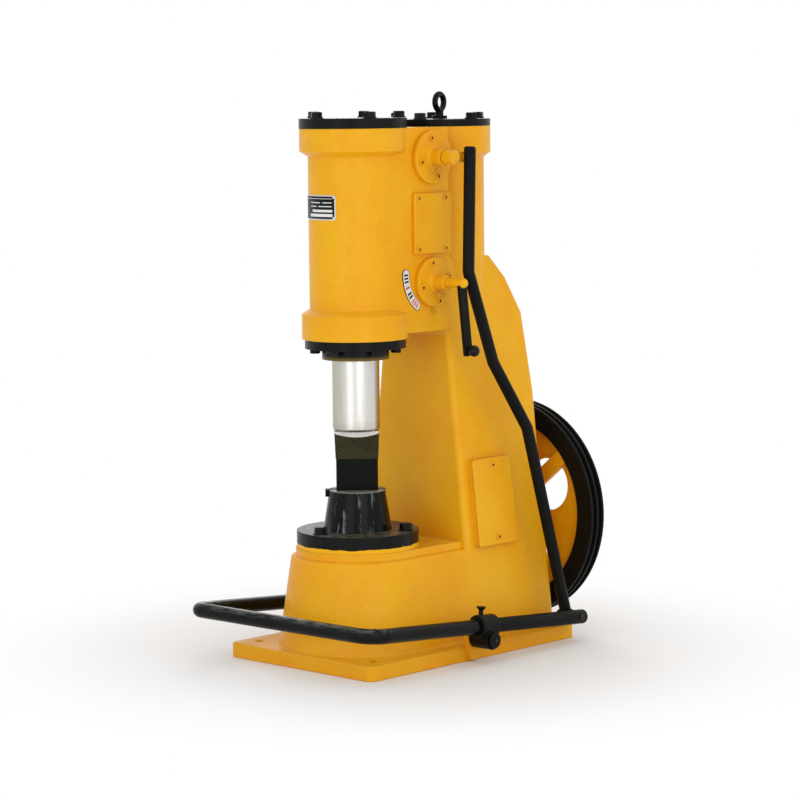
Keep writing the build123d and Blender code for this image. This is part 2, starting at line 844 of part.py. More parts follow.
# Rear bar of the pedal, from the right collar back to the link rod
rear_bar_run = (rear_bar_reach - pedal_pivot_y) / cos(pedal_tilt)
RIGHT_BAR_PLANE = Plane(
    origin=(pedal_half_width, pedal_pivot_y, pedal_collar_height),
    x_dir=(1, 0, 0),
    z_dir=(0, cos(pedal_tilt), -sin(pedal_tilt)),
)
with BuildPart() as pedal_rear_bar:
    with BuildSketch(RIGHT_BAR_PLANE):
        Circle(rear_bar_radius)
    extrude(amount=rear_bar_run)
    fillet(edges().sort_by(Axis.Y)[-1], cover_edge_radius)
    with Locations(Plane(origin=(pedal_half_width, link_pin_y, link_pin_height), z_dir=(1, 0, 0))):
        Cylinder(
            link_pin_radius + fit_gap,
            2 * rear_bar_radius + 2 * overrun,
            mode=Mode.SUBTRACT,
        )
save(pedal_rear_bar, "pedal_rear_bar")


def rocker_block(rear_bore_radius):
    """Collar on the pedal bar with a pivot hub under it, drilled for the bars, stud and screw."""
    with BuildPart() as block:
        with BuildSketch(RIGHT_BAR_PLANE.offset(-pedal_collar_length / 2)):
            Circle(pedal_collar_radius)
        extrude(amount=pedal_collar_length)
        fillet(edges().filter_by(GeomType.CIRCLE), pedal_collar_edge)
        with BuildSketch(Plane.YZ.offset(hub_inner_face)):
            with Locations((pedal_pivot_y, pedal_pivot_height)):
                Circle(pivot_hub_radius)
        extrude(amount=hub_outer_face - hub_inner_face)
        with BuildSketch(RIGHT_BAR_PLANE):
            Circle(pedal_tube_radius + fit_gap)
        extrude(amount=-(pedal_collar_length / 2 + overrun), mode=Mode.SUBTRACT)
        with BuildSketch(RIGHT_BAR_PLANE):
            Circle(rear_bore_radius + fit_gap)
        extrude(amount=pedal_collar_length / 2 + overrun, mode=Mode.SUBTRACT)
        with BuildSketch(Plane.YZ.offset(hub_inner_face)):
            with Locations((pedal_pivot_y, pedal_pivot_height)):
                Circle(pivot_stud_radius + fit_gap)
        extrude(amount=hub_outer_face - hub_inner_face, mode=Mode.SUBTRACT)
        with BuildSketch(PEDAL_PLANE):
            with Locations((pedal_half_width, -pedal_collar_length / 4)):
                Circle(clamp_screw_radius + fit_gap)
        extrude(amount=pedal_collar_radius + overrun, mode=Mode.SUBTRACT)
    return block


right_rocker_block = rocker_block(rear_bar_radius)
save(right_rocker_block, "right_rocker_block")
with BuildPart() as left_rocker_block:
    mirror(rocker_block(pedal_tube_radius).part, about=Plane.YZ)
save(left_rocker_block, "left_rocker_block")

# Clamp screws that grip the loop in its collars
with BuildPart() as right_clamp_screw:
    screw_x = pedal_half_width
    screw_foot = pedal_tube_radius + fit_gap
    screw_shoulder = pedal_collar_radius + clamp_screw_rise
    CLAMP_PLANE = Plane(
        origin=PEDAL_PLANE.from_local_coords((screw_x, -pedal_collar_length / 4, 0)),
        x_dir=(1, 0, 0),
        z_dir=(0, -cos(pedal_tilt), sin(pedal_tilt)),
    )
    with BuildSketch(CLAMP_PLANE):
        Polygon(
            (0, screw_foot),
            (clamp_screw_radius, screw_foot),
            (clamp_screw_radius, screw_shoulder - clamp_head_height),
            (clamp_head_radius, screw_shoulder - clamp_head_height / 4),
            (clamp_head_radius, screw_shoulder),
            (0, screw_shoulder),
            align=None,
        )
    revolve(axis=Axis(CLAMP_PLANE.origin, CLAMP_PLANE.y_dir))
save(right_clamp_screw, "right_clamp_screw")
with BuildPart() as left_clamp_screw:
    mirror(right_clamp_screw.part, about=Plane.YZ)
save(left_clamp_screw, "left_clamp_screw")

# Pin that hangs the link rod on the rear bar
link_pin_inner = link_foot_x - link_radius - 2 * side_gap
with BuildPart() as link_pin:
    with BuildSketch(Plane.YZ.offset(link_pin_inner)):
        with Locations((link_pin_y, link_pin_height)):
            Circle(link_pin_radius)
    extrude(amount=pedal_half_width + rear_bar_radius + side_gap - link_pin_inner)
    with BuildSketch(Plane.YZ.offset(link_pin_inner)):
        with Locations((link_pin_y, link_pin_height)):
            Circle(link_pin_head_radius)
    extrude(amount=-link_pin_head_height)
save(link_pin, "link_pin")

# Link rod: a round bar with three bends, an eye at its foot and a blind eye at its head
crank_pin_y = valve_axis_y + crank_reach
link_eye_floor = link_head_x + link_eye_width / 2 - link_eye_wall
with BuildPart() as link_rod:
    with BuildLine() as link_path:
        FilletPolyline(
            (link_foot_x, link_pin_y, link_pin_height),
            (link_bend_x, link_bend_y, link_bend_height),
            (link_head_x, link_elbow_y, link_elbow_height),
            (link_head_x, link_knee_y, link_knee_height),
            (link_head_x, crank_pin_y, upper_valve_height + link_head_rise),
            radius=link_corner_radius,
        )
    with BuildSketch(Plane(origin=link_path.line @ 0, z_dir=link_path.line % 0)):
        Circle(link_radius)
    sweep()
    fillet(edges().sort_by(Axis.Z)[-1], link_head_rounding)
    with Locations(Plane(origin=(link_foot_x, link_pin_y, link_pin_height), z_dir=(1, 0, 0))):
        Cylinder(link_eye_radius, link_eye_width)
        Cylinder(link_pin_radius + fit_gap, 2 * link_eye_width, mode=Mode.SUBTRACT)
    with Locations(Plane(origin=(link_eye_floor, crank_pin_y, upper_valve_height), z_dir=(-1, 0, 0))):
        Cylinder(
            crank_pin_radius + crank_pin_play,
            2 * link_eye_width,
            align=(Align.CENTER, Align.CENTER, Align.MIN),
            mode=Mode.SUBTRACT,
        )
save(link_rod, "link_rod")

# Upper valve spindle
with BuildPart() as upper_valve_spindle:
    with BuildSketch(RIGHT_VALVE_PLANE.offset(-spindle_depth)):
        with Locations((valve_axis_y, upper_valve_height)):
            Circle(upper_spindle_radius)
    extrude(amount=spindle_depth + crank_inner_face + crank_hub_length - chest_half_width)
save(upper_valve_spindle, "upper_valve_spindle")

# Crank on the upper spindle, with the pin that works in the link rod's eye
CRANK_PLANE = Plane.YZ.offset(crank_inner_face)
crank_pin_end = link_eye_floor - side_gap
with BuildPart() as valve_crank:
    with BuildSketch(CRANK_PLANE):
        with Locations((valve_axis_y, upper_valve_height)):
            Circle(crank_hub_radius)
        with Locations((crank_pin_y, upper_valve_height)):
            Circle(crank_eye_radius)
        with Locations(((valve_axis_y + crank_pin_y) / 2, upper_valve_height)):
            Rectangle(crank_reach, 2 * crank_eye_radius)
    extrude(amount=crank_arm_thickness)
    with BuildSketch(CRANK_PLANE):
        with Locations((valve_axis_y, upper_valve_height)):
            Circle(crank_hub_radius)
    extrude(amount=crank_hub_length)
    with BuildSketch(CRANK_PLANE):
        with Locations((crank_pin_y, upper_valve_height)):
            Circle(crank_pin_radius)
    extrude(amount=crank_pin_end - crank_inner_face)
    with BuildSketch(CRANK_PLANE):
        with Locations((valve_axis_y, upper_valve_height)):
            Circle(upper_spindle_radius + fit_gap)
    extrude(amount=crank_hub_length, mode=Mode.SUBTRACT)
save(valve_crank, "valve_crank")

# Lower valve spindle with a rounded end
with BuildPart() as lower_valve_spindle:
    with BuildSketch(RIGHT_VALVE_PLANE.offset(-spindle_depth)):
        with Locations((valve_axis_y, lower_valve_height)):
            Circle(lower_spindle_radius)
    extrude(amount=spindle_depth + lower_spindle_end - chest_half_width)
    fillet(edges().sort_by(Axis.X)[-1], lower_spindle_radius - select_tolerance)
save(lower_valve_spindle, "lower_valve_spindle")

# Hand lever: a flat bar fixed to the underside of the lower spindle
LEVER_PLANE = Plane(
    origin=(lower_spindle_end - lever_inset, valve_axis_y, lower_valve_height),
    x_dir=(0, cos(radians(lever_lean)), sin(radians(lever_lean))),
    z_dir=(1, 0, 0),
)
with BuildPart() as hand_lever:
    with BuildSketch(LEVER_PLANE.offset(-lever_thickness / 2)):
        with Locations((0, -lever_length / 2)):
            RectangleRounded(lever_width, lever_length, lever_end_rounding)
        Circle(lower_spindle_radius + fit_gap, mode=Mode.SUBTRACT)
    extrude(amount=lever_thickness)
save(hand_lever, "hand_lever")

# Ball knob on a short stem at the foot of the lever
with BuildPart() as lever_knob:
    knob_plane = LEVER_PLANE.offset(lever_thickness / 2)
    with BuildSketch(knob_plane):
        with Locations((0, -lever_length + knob_drop - knob_radius)):
            Circle(knob_stem_radius)
    extrude(amount=knob_stem_length + knob_radius / 2)
    with Locations(knob_plane):
        with Locations((0, -lever_length + knob_drop - knob_radius, knob_stem_length)):
            Sphere(knob_radius)
save(lever_knob, "lever_knob")
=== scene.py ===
import json
import math

import bmesh
import bpy
import numpy as np
from mathutils import Matrix, Vector


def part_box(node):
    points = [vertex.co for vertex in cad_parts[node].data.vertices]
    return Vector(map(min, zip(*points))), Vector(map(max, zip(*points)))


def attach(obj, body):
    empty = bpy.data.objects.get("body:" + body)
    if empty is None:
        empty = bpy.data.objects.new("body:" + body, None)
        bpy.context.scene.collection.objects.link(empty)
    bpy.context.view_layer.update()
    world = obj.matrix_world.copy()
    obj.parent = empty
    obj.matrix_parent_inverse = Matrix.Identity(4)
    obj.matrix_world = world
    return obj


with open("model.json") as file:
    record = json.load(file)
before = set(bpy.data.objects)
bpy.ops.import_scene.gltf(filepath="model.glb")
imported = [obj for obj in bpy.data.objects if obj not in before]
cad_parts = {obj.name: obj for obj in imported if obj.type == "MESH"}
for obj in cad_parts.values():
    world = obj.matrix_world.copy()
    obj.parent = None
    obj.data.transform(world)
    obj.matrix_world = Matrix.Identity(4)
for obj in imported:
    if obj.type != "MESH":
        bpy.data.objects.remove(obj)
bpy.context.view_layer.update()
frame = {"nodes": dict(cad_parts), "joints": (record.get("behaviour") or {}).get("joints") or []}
nodes = frame["nodes"]

# Studio: a pale floor that fades to white round the machine, under large soft lamps.
# The camera stands at the working front, turned to the side with the valve levers.
scene = bpy.context.scene
scene.view_settings.view_transform = "Standard"
camera_place = Vector((4.34215, -4.42486, 1.24474))
camera_azimuth = math.radians(43.576)
camera_pitch = math.radians(6.245)
camera_roll = math.radians(-0.618)
camera_lens = 128.67
sensor_width = 36.0
ahead = Vector((
    -math.sin(camera_azimuth) * math.cos(camera_pitch),
    math.cos(camera_azimuth) * math.cos(camera_pitch),
    -math.sin(camera_pitch),
))
level_right = Vector((math.cos(camera_azimuth), math.sin(camera_azimuth), 0))
level_up = level_right.cross(ahead)
camera_right = level_right * math.cos(camera_roll) + level_up * math.sin(camera_roll)
camera_up = level_up * math.cos(camera_roll) - level_right * math.sin(camera_roll)
camera_data = bpy.data.cameras.new("camera")
camera_data.lens = camera_lens
camera_data.sensor_width = sensor_width
camera = bpy.data.objects.new("camera", camera_data)
camera.matrix_world = Matrix.Translation(camera_place) @ Matrix(
    (camera_right, camera_up, -ahead)
).transposed().to_4x4()
scene.collection.objects.link(camera)
scene.camera = camera

machine_middle = Vector((0.05, 0.14, 0.5))


def soft_lamp(name, place, size, power):
    """A square area lamp that faces the middle of the machine."""
    lamp_data = bpy.data.lights.new(name, "AREA")
    lamp_data.size = size
    lamp_data.energy = power
    lamp = bpy.data.objects.new(name, lamp_data)
    lamp.location = place
    lamp.rotation_euler = (machine_middle - Vector(place)).to_track_quat("-Z", "Y").to_euler()
    scene.collection.objects.link(lamp)


soft_lamp("key_lamp", place=(1.0, -3.4, 0.75), size=1.9, power=14)
soft_lamp("side_lamp", place=(3.6, 0.6, 2.0), size=1.6, power=9)
soft_lamp("low_lamp", place=(3.3, -1.5, 0.35), size=2.0, power=20)
soft_lamp("back_lamp", place=(-2.6, 2.6, 2.4), size=1.8, power=28)


def shader_node(tree, kind, inputs=None, **settings):
    """One node of a shader tree: its settings, then each input as a value or a socket to link."""
    node = tree.nodes.new("ShaderNode" + kind)
    for setting, value in settings.items():
        setattr(node, setting, value)
    for label, value in (inputs or {}).items():
        if isinstance(value, bpy.types.NodeSocket):
            tree.links.new(value, node.inputs[label])
        else:
            node.inputs[label].default_value = value
    return node


def shown_rays(tree):
    """One for rays that show the background: camera, glossy and transmission rays."""
    ray = shader_node(tree, "LightPath").outputs
    first = shader_node(tree, "Math", {0: ray["Is Camera Ray"], 1: ray["Is Glossy Ray"]},
                        operation="MAXIMUM")
    return shader_node(tree, "Math", {0: first.outputs[0], 1: ray["Is Transmission Ray"]},
                       operation="MAXIMUM").outputs[0]


world_level = 0.87
world = bpy.data.worlds.new("studio")
scene.world = world
world.use_nodes = True
world_tree = world.node_tree
world_tree.nodes.clear()
world_strength = shader_node(
    world_tree, "MapRange", {"Value": shown_rays(world_tree), "To Min": world_level, "To Max": 1.0})
world_light = shader_node(
    world_tree, "Background", {"Color": (1, 1, 1, 1), "Strength": world_strength.outputs["Result"]})
shader_node(world_tree, "OutputWorld", {"Surface": world_light.outputs[0]})


def grid_quads(rows, columns):
    """Corner numbers of the quads of a grid whose last column closes to its first."""
    row, column = np.meshgrid(np.arange(rows - 1), np.arange(columns), indexing="ij")
    following = (column + 1) % columns
    corners = (row * columns + column, row * columns + following,
               (row + 1) * columns + following, (row + 1) * columns + column)
    return np.stack(corners, axis=-1).reshape(-1, 4)


crease_angle = math.radians(32)
merge_distance = 1e-6
sliver_length = 1e-7


def surface_piece(name, grids, finishes, band_finish=None):
    """One mesh from grids of points, each rows x columns x 3, with poles and seams merged.
    band_finish gives the number of the finish for each band between two rows."""
    points, quads, finish_numbers, start = [], [], [], 0
    for grid in grids:
        rows, columns = grid.shape[:2]
        points.append(grid.reshape(-1, 3))
        quads.append(grid_quads(rows, columns) + start)
        bands = np.zeros(rows - 1, int) if band_finish is None else np.array(band_finish)
        finish_numbers.append(np.repeat(bands, len(quads[-1]) // (rows - 1)))
        start += rows * columns
    mesh = bpy.data.meshes.new(name)
    mesh.from_pydata(np.concatenate(points), [], np.concatenate(quads).tolist())
    mesh.polygons.foreach_set("material_index", np.concatenate(finish_numbers).astype(np.int32))
    shell = bmesh.new()
    shell.from_mesh(mesh)
    bmesh.ops.remove_doubles(shell, verts=shell.verts, dist=merge_distance)
    bmesh.ops.dissolve_degenerate(shell, edges=shell.edges, dist=sliver_length)
    bmesh.ops.recalc_face_normals(shell, faces=shell.faces)
    shell.to_mesh(mesh)
    shell.free()
    mesh.polygons.foreach_set("use_smooth", np.ones(len(mesh.polygons), bool))
    mesh.set_sharp_from_angle(angle=crease_angle)
    for finish in finishes:
        mesh.materials.append(finish)
    piece = bpy.data.objects.new(name, mesh)
    scene.collection.objects.link(piece)
    return piece


# Floor: a round pale sheet, plain under the machine, with its far part shown as white.
# It keeps the machine's soft shadow and has no pattern of its own.
floor_radius = 9.0
floor_drop = 0.0005
floor_middle = (0.0, 0.15, 0.0)
floor_clear_start = 0.42
floor_clear_end = 1.05
floor_circles = 4
floor_columns = 48
floor_paint = bpy.data.materials.new("floor_paint")
floor_paint.use_nodes = True
floor_tree = floor_paint.node_tree
floor_base = floor_tree.nodes["Principled BSDF"]
floor_base.inputs["Base Color"].default_value = (0.90, 0.90, 0.90, 1)
floor_base.inputs["Roughness"].default_value = 0.9
floor_place = shader_node(floor_tree, "TexCoord").outputs["Object"]
floor_distance = shader_node(
    floor_tree, "VectorMath", {0: floor_place, 1: floor_middle}, operation="DISTANCE")
floor_fade = shader_node(
    floor_tree, "MapRange",
    {"Value": floor_distance.outputs["Value"], "From Min": floor_clear_start,
     "From Max": floor_clear_end},
    interpolation_type="SMOOTHSTEP")
floor_white_share = shader_node(
    floor_tree, "Math", {0: floor_fade.outputs["Result"], 1: shown_rays(floor_tree)},
    operation="MULTIPLY")
floor_white = shader_node(floor_tree, "Emission")
floor_mix = shader_node(
    floor_tree, "MixShader",
    {"Fac": floor_white_share.outputs[0], 1: floor_base.outputs[0], 2: floor_white.outputs[0]})
floor_tree.links.new(
    floor_mix.outputs[0], floor_tree.nodes["Material Output"].inputs["Surface"])
floor_reach, floor_turn = np.meshgrid(
    np.linspace(0, floor_radius, floor_circles),
    np.linspace(0, 2 * np.pi, floor_columns, endpoint=False), indexing="ij")
floor = surface_piece("floor", [np.stack(
    (floor_reach * np.cos(floor_turn), floor_reach * np.sin(floor_turn),
     0 * floor_turn - floor_drop), -1)], [floor_paint])

# Frame casting: one iron casting that carries base, column, valve chest and both cylinders.
# The sand mould leaves its faces slightly wavy under thick yellow enamel, which is sprayed over every cover
# and flange bolted to it. A paler line along the edges is a painted highlight, and darker orange in corners
# is painted shade.


def mix_colour(tree, share, first, second):
    """A colour that goes from first to second as share goes from nought to one."""
    return shader_node(
        tree, "Mix", {0: share, 6: first, 7: second}, data_type="RGBA").outputs[2]


def scaled(tree, value, factor):
    """A varying value times a plain factor, kept between nought and one."""
    return shader_node(
        tree, "Math", {0: value, 1: factor}, operation="MULTIPLY", use_clamp=True).outputs[0]


def spread(tree, value, low, high, to_low=0.0, to_high=1.0):
    """A varying value with low..high drawn out to to_low..to_high and held beyond them."""
    return shader_node(
        tree, "MapRange",
        {"Value": value, "From Min": low, "From Max": high, "To Min": to_low, "To Max": to_high}
    ).outputs["Result"]


def shader_group(name, inputs, outputs):
    """An empty node group with named inputs and outputs: its tree, its way in and its way out."""
    tree = bpy.data.node_groups.new(name, "ShaderNodeTree")
    for label, value in inputs.items():
        kind = "NodeSocketVector" if isinstance(value, tuple) else "NodeSocketFloat"
        socket = tree.interface.new_socket(label, in_out="INPUT", socket_type=kind)
        socket.default_value = value
    for label, kind in outputs.items():
        tree.interface.new_socket(label, in_out="OUTPUT", socket_type="NodeSocket" + kind)
    return tree, tree.nodes.new("NodeGroupInput").outputs, tree.nodes.new("NodeGroupOutput").inputs


def use_group(tree, group, **values):
    """A group placed in a material with its own values; returns its outputs."""
    node = tree.nodes.new("ShaderNodeGroup")
    node.node_tree = group
    for label, value in values.items():
        node.inputs[label.replace("_", " ")].default_value = value
    return node.outputs


def new_finish(name, plain):
    """A new material with its plain values on the shader: the material, its tree, its inputs."""
    finish = bpy.data.materials.new(name)
    finish.use_nodes = True
    shader = finish.node_tree.nodes["Principled BSDF"]
    for label, value in plain.items():
        shader.inputs[label].default_value = value
    return finish, finish.node_tree, shader.inputs


def raised(tree, height, distance, normal=None):
    """A normal that tells of a small height, in metres at height one."""
    inputs = {"Height": height, "Distance": distance, "Strength": 1.0}
    if normal is not None:
        inputs["Normal"] = normal
    return shader_node(tree, "Bump", inputs).outputs["Normal"]


def finish_nodes(finish, *names):
    """Puts one finish on the solids of those names."""
    for name in names:
        nodes[name].data.materials.clear()
        nodes[name].data.materials.append(finish)


# cast_skin: broad waves of the mould and the fine peel of the paint, summed as one height
cast_skin, skin_in, skin_out = shader_group(
    "cast_skin", {"Wave Scale": 30.0, "Peel Scale": 420.0, "Wave Share": 6.0},
    {"Height": "Float", "Tone": "Float"})
skin_place = shader_node(cast_skin, "TexCoord").outputs["Object"]
skin_waves = shader_node(
    cast_skin, "TexNoise",
    {"Vector": skin_place, "Scale": skin_in["Wave Scale"], "Detail": 1.5}).outputs[0]
skin_peel = shader_node(
    cast_skin, "TexNoise",
    {"Vector": skin_place, "Scale": skin_in["Peel Scale"], "Detail": 2.5}).outputs[0]
skin_sum = shader_node(
    cast_skin, "Math", {0: skin_waves, 1: skin_in["Wave Share"], 2: skin_peel},
    operation="MULTIPLY_ADD")
cast_skin.links.new(skin_sum.outputs[0], skin_out["Height"])
skin_blotch = shader_node(
    cast_skin, "TexNoise",
    {"Vector": skin_place, "Scale": 5.5, "Detail": 5.0, "Roughness": 0.6}).outputs[0]
skin_tone = shader_node(
    cast_skin, "Math", {0: skin_blotch, 1: skin_peel}, operation="ADD").outputs[0]
cast_skin.links.new(spread(cast_skin, skin_tone, 0.82, 1.18), skin_out["Tone"])

# edge group: outer edges (worn paint on the blacks and dies, a painted highlight on the yellow), painted
# shade in inner corners, and a softened normal
edge_rub_and_shade, rub_in, rub_out = shader_group(
    "edge_rub_and_shade", {"Width": 0.003, "Corner": 0.02},
    {"Edge": "Float", "Corner Shade": "Float", "Normal": "Vector"})
rub_soft = shader_node(edge_rub_and_shade, "Bevel", {"Radius": rub_in["Width"]}, samples=6).outputs[0]
rub_plain = shader_node(edge_rub_and_shade, "NewGeometry").outputs["Normal"]
rub_facing = shader_node(
    edge_rub_and_shade, "VectorMath", {0: rub_soft, 1: rub_plain}, operation="DOT_PRODUCT").outputs["Value"]
rub_open = shader_node(
    edge_rub_and_shade, "AmbientOcclusion", {"Distance": rub_in["Corner"]}, samples=6).outputs["AO"]
rub_noise = shader_node(
    edge_rub_and_shade, "TexNoise",
    {"Vector": shader_node(edge_rub_and_shade, "TexCoord").outputs["Object"], "Scale": 55.0, "Detail": 4.0}
).outputs[0]
rub_turned = spread(edge_rub_and_shade, rub_facing, 0.985, 0.86)
rub_outer = shader_node(
    edge_rub_and_shade, "Math", {0: rub_turned, 1: spread(edge_rub_and_shade, rub_open, 0.70, 0.92)},
    operation="MULTIPLY").outputs[0]
rub_broken = shader_node(
    edge_rub_and_shade, "Math", {0: rub_outer, 1: spread(edge_rub_and_shade, rub_noise, 0.32, 0.60)},
    operation="MULTIPLY").outputs[0]
edge_rub_and_shade.links.new(rub_broken, rub_out["Edge"])
# Corner Shade is painted shade: it rises where ambient occlusion finds surfaces close by.
edge_rub_and_shade.links.new(spread(edge_rub_and_shade, rub_open, 0.80, 0.25), rub_out["Corner Shade"])
edge_rub_and_shade.links.new(rub_soft, rub_out["Normal"])

# settled_dust: patches of dust on faces that look up
settled_dust, dust_in, dust_out = shader_group(
    "settled_dust", {"Patch Scale": 40.0}, {"Dust": "Float"})
dust_lift = shader_node(
    settled_dust, "SeparateXYZ",
    {0: shader_node(settled_dust, "NewGeometry").outputs["Normal"]}).outputs["Z"]
dust_patch = shader_node(
    settled_dust, "TexNoise",
    {"Vector": shader_node(settled_dust, "TexCoord").outputs["Object"],
     "Scale": dust_in["Patch Scale"], "Detail": 5.0, "Roughness": 0.65}).outputs[0]
dust_share = shader_node(
    settled_dust, "Math",
    {0: spread(settled_dust, dust_lift, 0.55, 0.97), 1: spread(settled_dust, dust_patch, 0.34, 0.68)},
    operation="MULTIPLY").outputs[0]
settled_dust.links.new(dust_share, dust_out["Dust"])

yellow_full = (0.83, 0.430, 0.009, 1)
yellow_deep = (0.79, 0.335, 0.003, 1)
yellow_edge_highlight = (0.93, 0.60, 0.085, 1)
yellow_grime_and_shadow = (0.42, 0.130, 0.003, 1)
yellow_shaded = (0.66, 0.205, 0.002, 1)
yellow_dust = (0.74, 0.43, 0.07, 1)
enamel_relief = 0.00022
yellow_edge_highlight_share = 0.6
yellow_corner_shade_share = 0.35
yellow_dust_share = 0.35
spot_share_most = 0.7
spot_core_share = 0.25
yellow_enamel, yellow_tree, yellow_shader = new_finish(
    "yellow_enamel", {"Specular IOR Level": 0.14, "Coat Roughness": 0.18})
yellow_skin = use_group(yellow_tree, cast_skin, Wave_Scale=30.0, Peel_Scale=420.0)
yellow_highlight_and_shade = use_group(yellow_tree, edge_rub_and_shade, Width=0.0035, Corner=0.10)
yellow_film = use_group(yellow_tree, settled_dust, Patch_Scale=26.0)
yellow_body = mix_colour(yellow_tree, yellow_skin["Tone"], yellow_deep, yellow_full)
# Painted highlight: the outer edges turn a paler yellow.
yellow_highlighted = mix_colour(
    yellow_tree, scaled(yellow_tree, yellow_highlight_and_shade["Edge"], yellow_edge_highlight_share), yellow_body, yellow_edge_highlight)
# Painted shade: corners and recesses up to a tenth of a metre deep turn darker orange.
yellow_grimed = mix_colour(
    yellow_tree, scaled(yellow_tree, yellow_highlight_and_shade["Corner Shade"], yellow_corner_shade_share), yellow_highlighted,
    yellow_shaded)
yellow_dusted = mix_colour(
    yellow_tree, scaled(yellow_tree, yellow_film["Dust"], yellow_dust_share), yellow_grimed,
    yellow_dust)
# Dark brown spots round and under the valve bosses: painted shadow beneath the bosses together with real
# grime.
boss_shadow_and_grime_spots = [((0.118, 0.140, 1.062), 0.032), ((0.172, 0.150, 1.082), 0.016),
              ((0.176, 0.186, 1.092), 0.016), ((0.116, 0.150, 0.798), 0.026),
              ((0.102, 0.140, 0.760), 0.016), ((0.190, 0.137, 0.812), 0.013)]
spot_patch = shader_node(
    yellow_tree, "TexNoise",
    {"Vector": shader_node(yellow_tree, "TexCoord").outputs["Object"], "Scale": 120.0, "Detail": 4.0}
).outputs[0]
for spot_place, spot_reach in boss_shadow_and_grime_spots:
    spot_distance = shader_node(
        yellow_tree, "VectorMath",
        {0: shader_node(yellow_tree, "TexCoord").outputs["Object"], 1: spot_place},
        operation="DISTANCE").outputs["Value"]
    spot_share = shader_node(
        yellow_tree, "Math",
        {0: spread(yellow_tree, spot_distance, spot_reach, spot_reach * spot_core_share),
         1: spread(yellow_tree, spot_patch, 0.38, 0.62)},
        operation="MULTIPLY").outputs[0]
    yellow_dusted = mix_colour(
        yellow_tree, scaled(yellow_tree, spot_share, spot_share_most), yellow_dusted, yellow_grime_and_shadow)
yellow_tree.links.new(yellow_dusted, yellow_shader["Base Color"])
yellow_tree.links.new(
    spread(yellow_tree, yellow_skin["Tone"], 0, 1, 0.44, 0.32), yellow_shader["Roughness"])
yellow_tree.links.new(
    spread(yellow_tree, yellow_film["Dust"], 0, 1, 0.07, 0.0), yellow_shader["Coat Weight"])
yellow_tree.links.new(
    raised(yellow_tree, yellow_skin["Height"], enamel_relief, yellow_highlight_and_shade["Normal"]),
    yellow_shader["Normal"])
finish_nodes(
    yellow_enamel, "frame_casting", "right_chest_cover", "left_chest_cover", "right_access_cover",
    "left_access_cover", "upper_valve_flange", "lower_valve_flange", "left_upper_valve_cap",
    "left_lower_valve_cap", "upper_valve_spindle", "valve_crank", "lower_valve_spindle",
    "rear_bearing_cap", "flywheel_centre")

# Cylinder covers: turned iron discs, painted black, that close the two cylinders above and
# the front one below round the ram's gland. A lifting eye is screwed into the rear one.
black_deep = (0.0022, 0.0028, 0.0022, 1)
black_full = (0.0060, 0.0068, 0.0058, 1)
black_bared = (0.075, 0.075, 0.070, 1)
black_dust = (0.17, 0.15, 0.115, 1)
black_relief = 0.00014


def black_paint(name, rough_low, rough_high, edge_share, dust_share, specular):
    """Black paint: two close blacks by tone, bared grey along edges, dust on what looks up."""
    finish, tree, shader = new_finish(name, {"Specular IOR Level": specular})
    skin = use_group(tree, cast_skin, Wave_Scale=48.0, Peel_Scale=620.0, Wave_Share=3.0)
    rub = use_group(tree, edge_rub_and_shade, Width=0.0018, Corner=0.012)
    film = use_group(tree, settled_dust, Patch_Scale=60.0)
    body = mix_colour(tree, skin["Tone"], black_deep, black_full)
    edged = mix_colour(tree, scaled(tree, rub["Edge"], edge_share), body, black_bared)
    dusted = mix_colour(tree, scaled(tree, film["Dust"], dust_share), edged, black_dust)
    tree.links.new(dusted, shader["Base Color"])
    tree.links.new(spread(tree, skin["Tone"], 0, 1, rough_high, rough_low), shader["Roughness"])
    tree.links.new(raised(tree, skin["Height"], black_relief, rub["Normal"]), shader["Normal"])
    return finish, tree, shader, dusted


cover_black = black_paint(
    "cover_black", rough_low=0.26, rough_high=0.40, edge_share=0.30, dust_share=0.10, specular=0.11)[0]
finish_nodes(
    cover_black, "front_cylinder_cover", "rear_cylinder_cover", "lower_cylinder_cover",
    "lifting_eye")
gland_black, gland_tree, gland_shader, gland_colour = black_paint(
    "gland_black", rough_low=0.26, rough_high=0.40, edge_share=0.30, dust_share=0.0, specular=0.12)
# The gland turns olive-brown towards its lower rim.
gland_olive = (0.16, 0.110, 0.018, 1)
gland_olive_top = 0.6680
gland_olive_full = 0.6615
gland_height = shader_node(
    gland_tree, "SeparateXYZ", {0: shader_node(gland_tree, "TexCoord").outputs["Object"]}).outputs["Z"]
gland_tree.links.new(
    mix_colour(gland_tree, spread(gland_tree, gland_height, gland_olive_top, gland_olive_full),
               gland_colour, gland_olive),
    gland_shader["Base Color"])
finish_nodes(gland_black, "ram_gland")

# Cover bolts: black hexagon heads on plain washers, evenly round each cover,
# drawn up from below on the front cylinder's lower cover.
crown_share = 0.47
washer_edge = 0.0006
crown_slope = math.tan(math.radians(30))
head_columns = 24
near_upright = 0.9


def hex_bolt(across, height, seat_radius, seat_height):
    """A bolt head on its washer, drawn about +Z: the six-sided radius is half the width across
    flats over the cosine of the turn from the nearest flat, and a 30 degree cone cuts the crown."""
    turn = np.linspace(0, 2 * np.pi, head_columns, endpoint=False)
    whole = np.ones(head_columns)
    flats = across / 2 / np.cos(turn % (np.pi / 3) - np.pi / 6)
    crown = crown_share * across
    top = seat_height + height
    radius = np.stack((0 * whole, seat_radius * whole, seat_radius * whole,
                       (seat_radius - washer_edge) * whole, flats, flats, crown * whole, 0 * whole))
    rise = np.stack((0 * whole, 0 * whole, (seat_height - washer_edge) * whole, seat_height * whole,
                     seat_height * whole, top - crown_slope * (flats - crown), top * whole,
                     top * whole))
    return np.stack((radius * np.cos(turn), radius * np.sin(turn), rise), axis=-1)


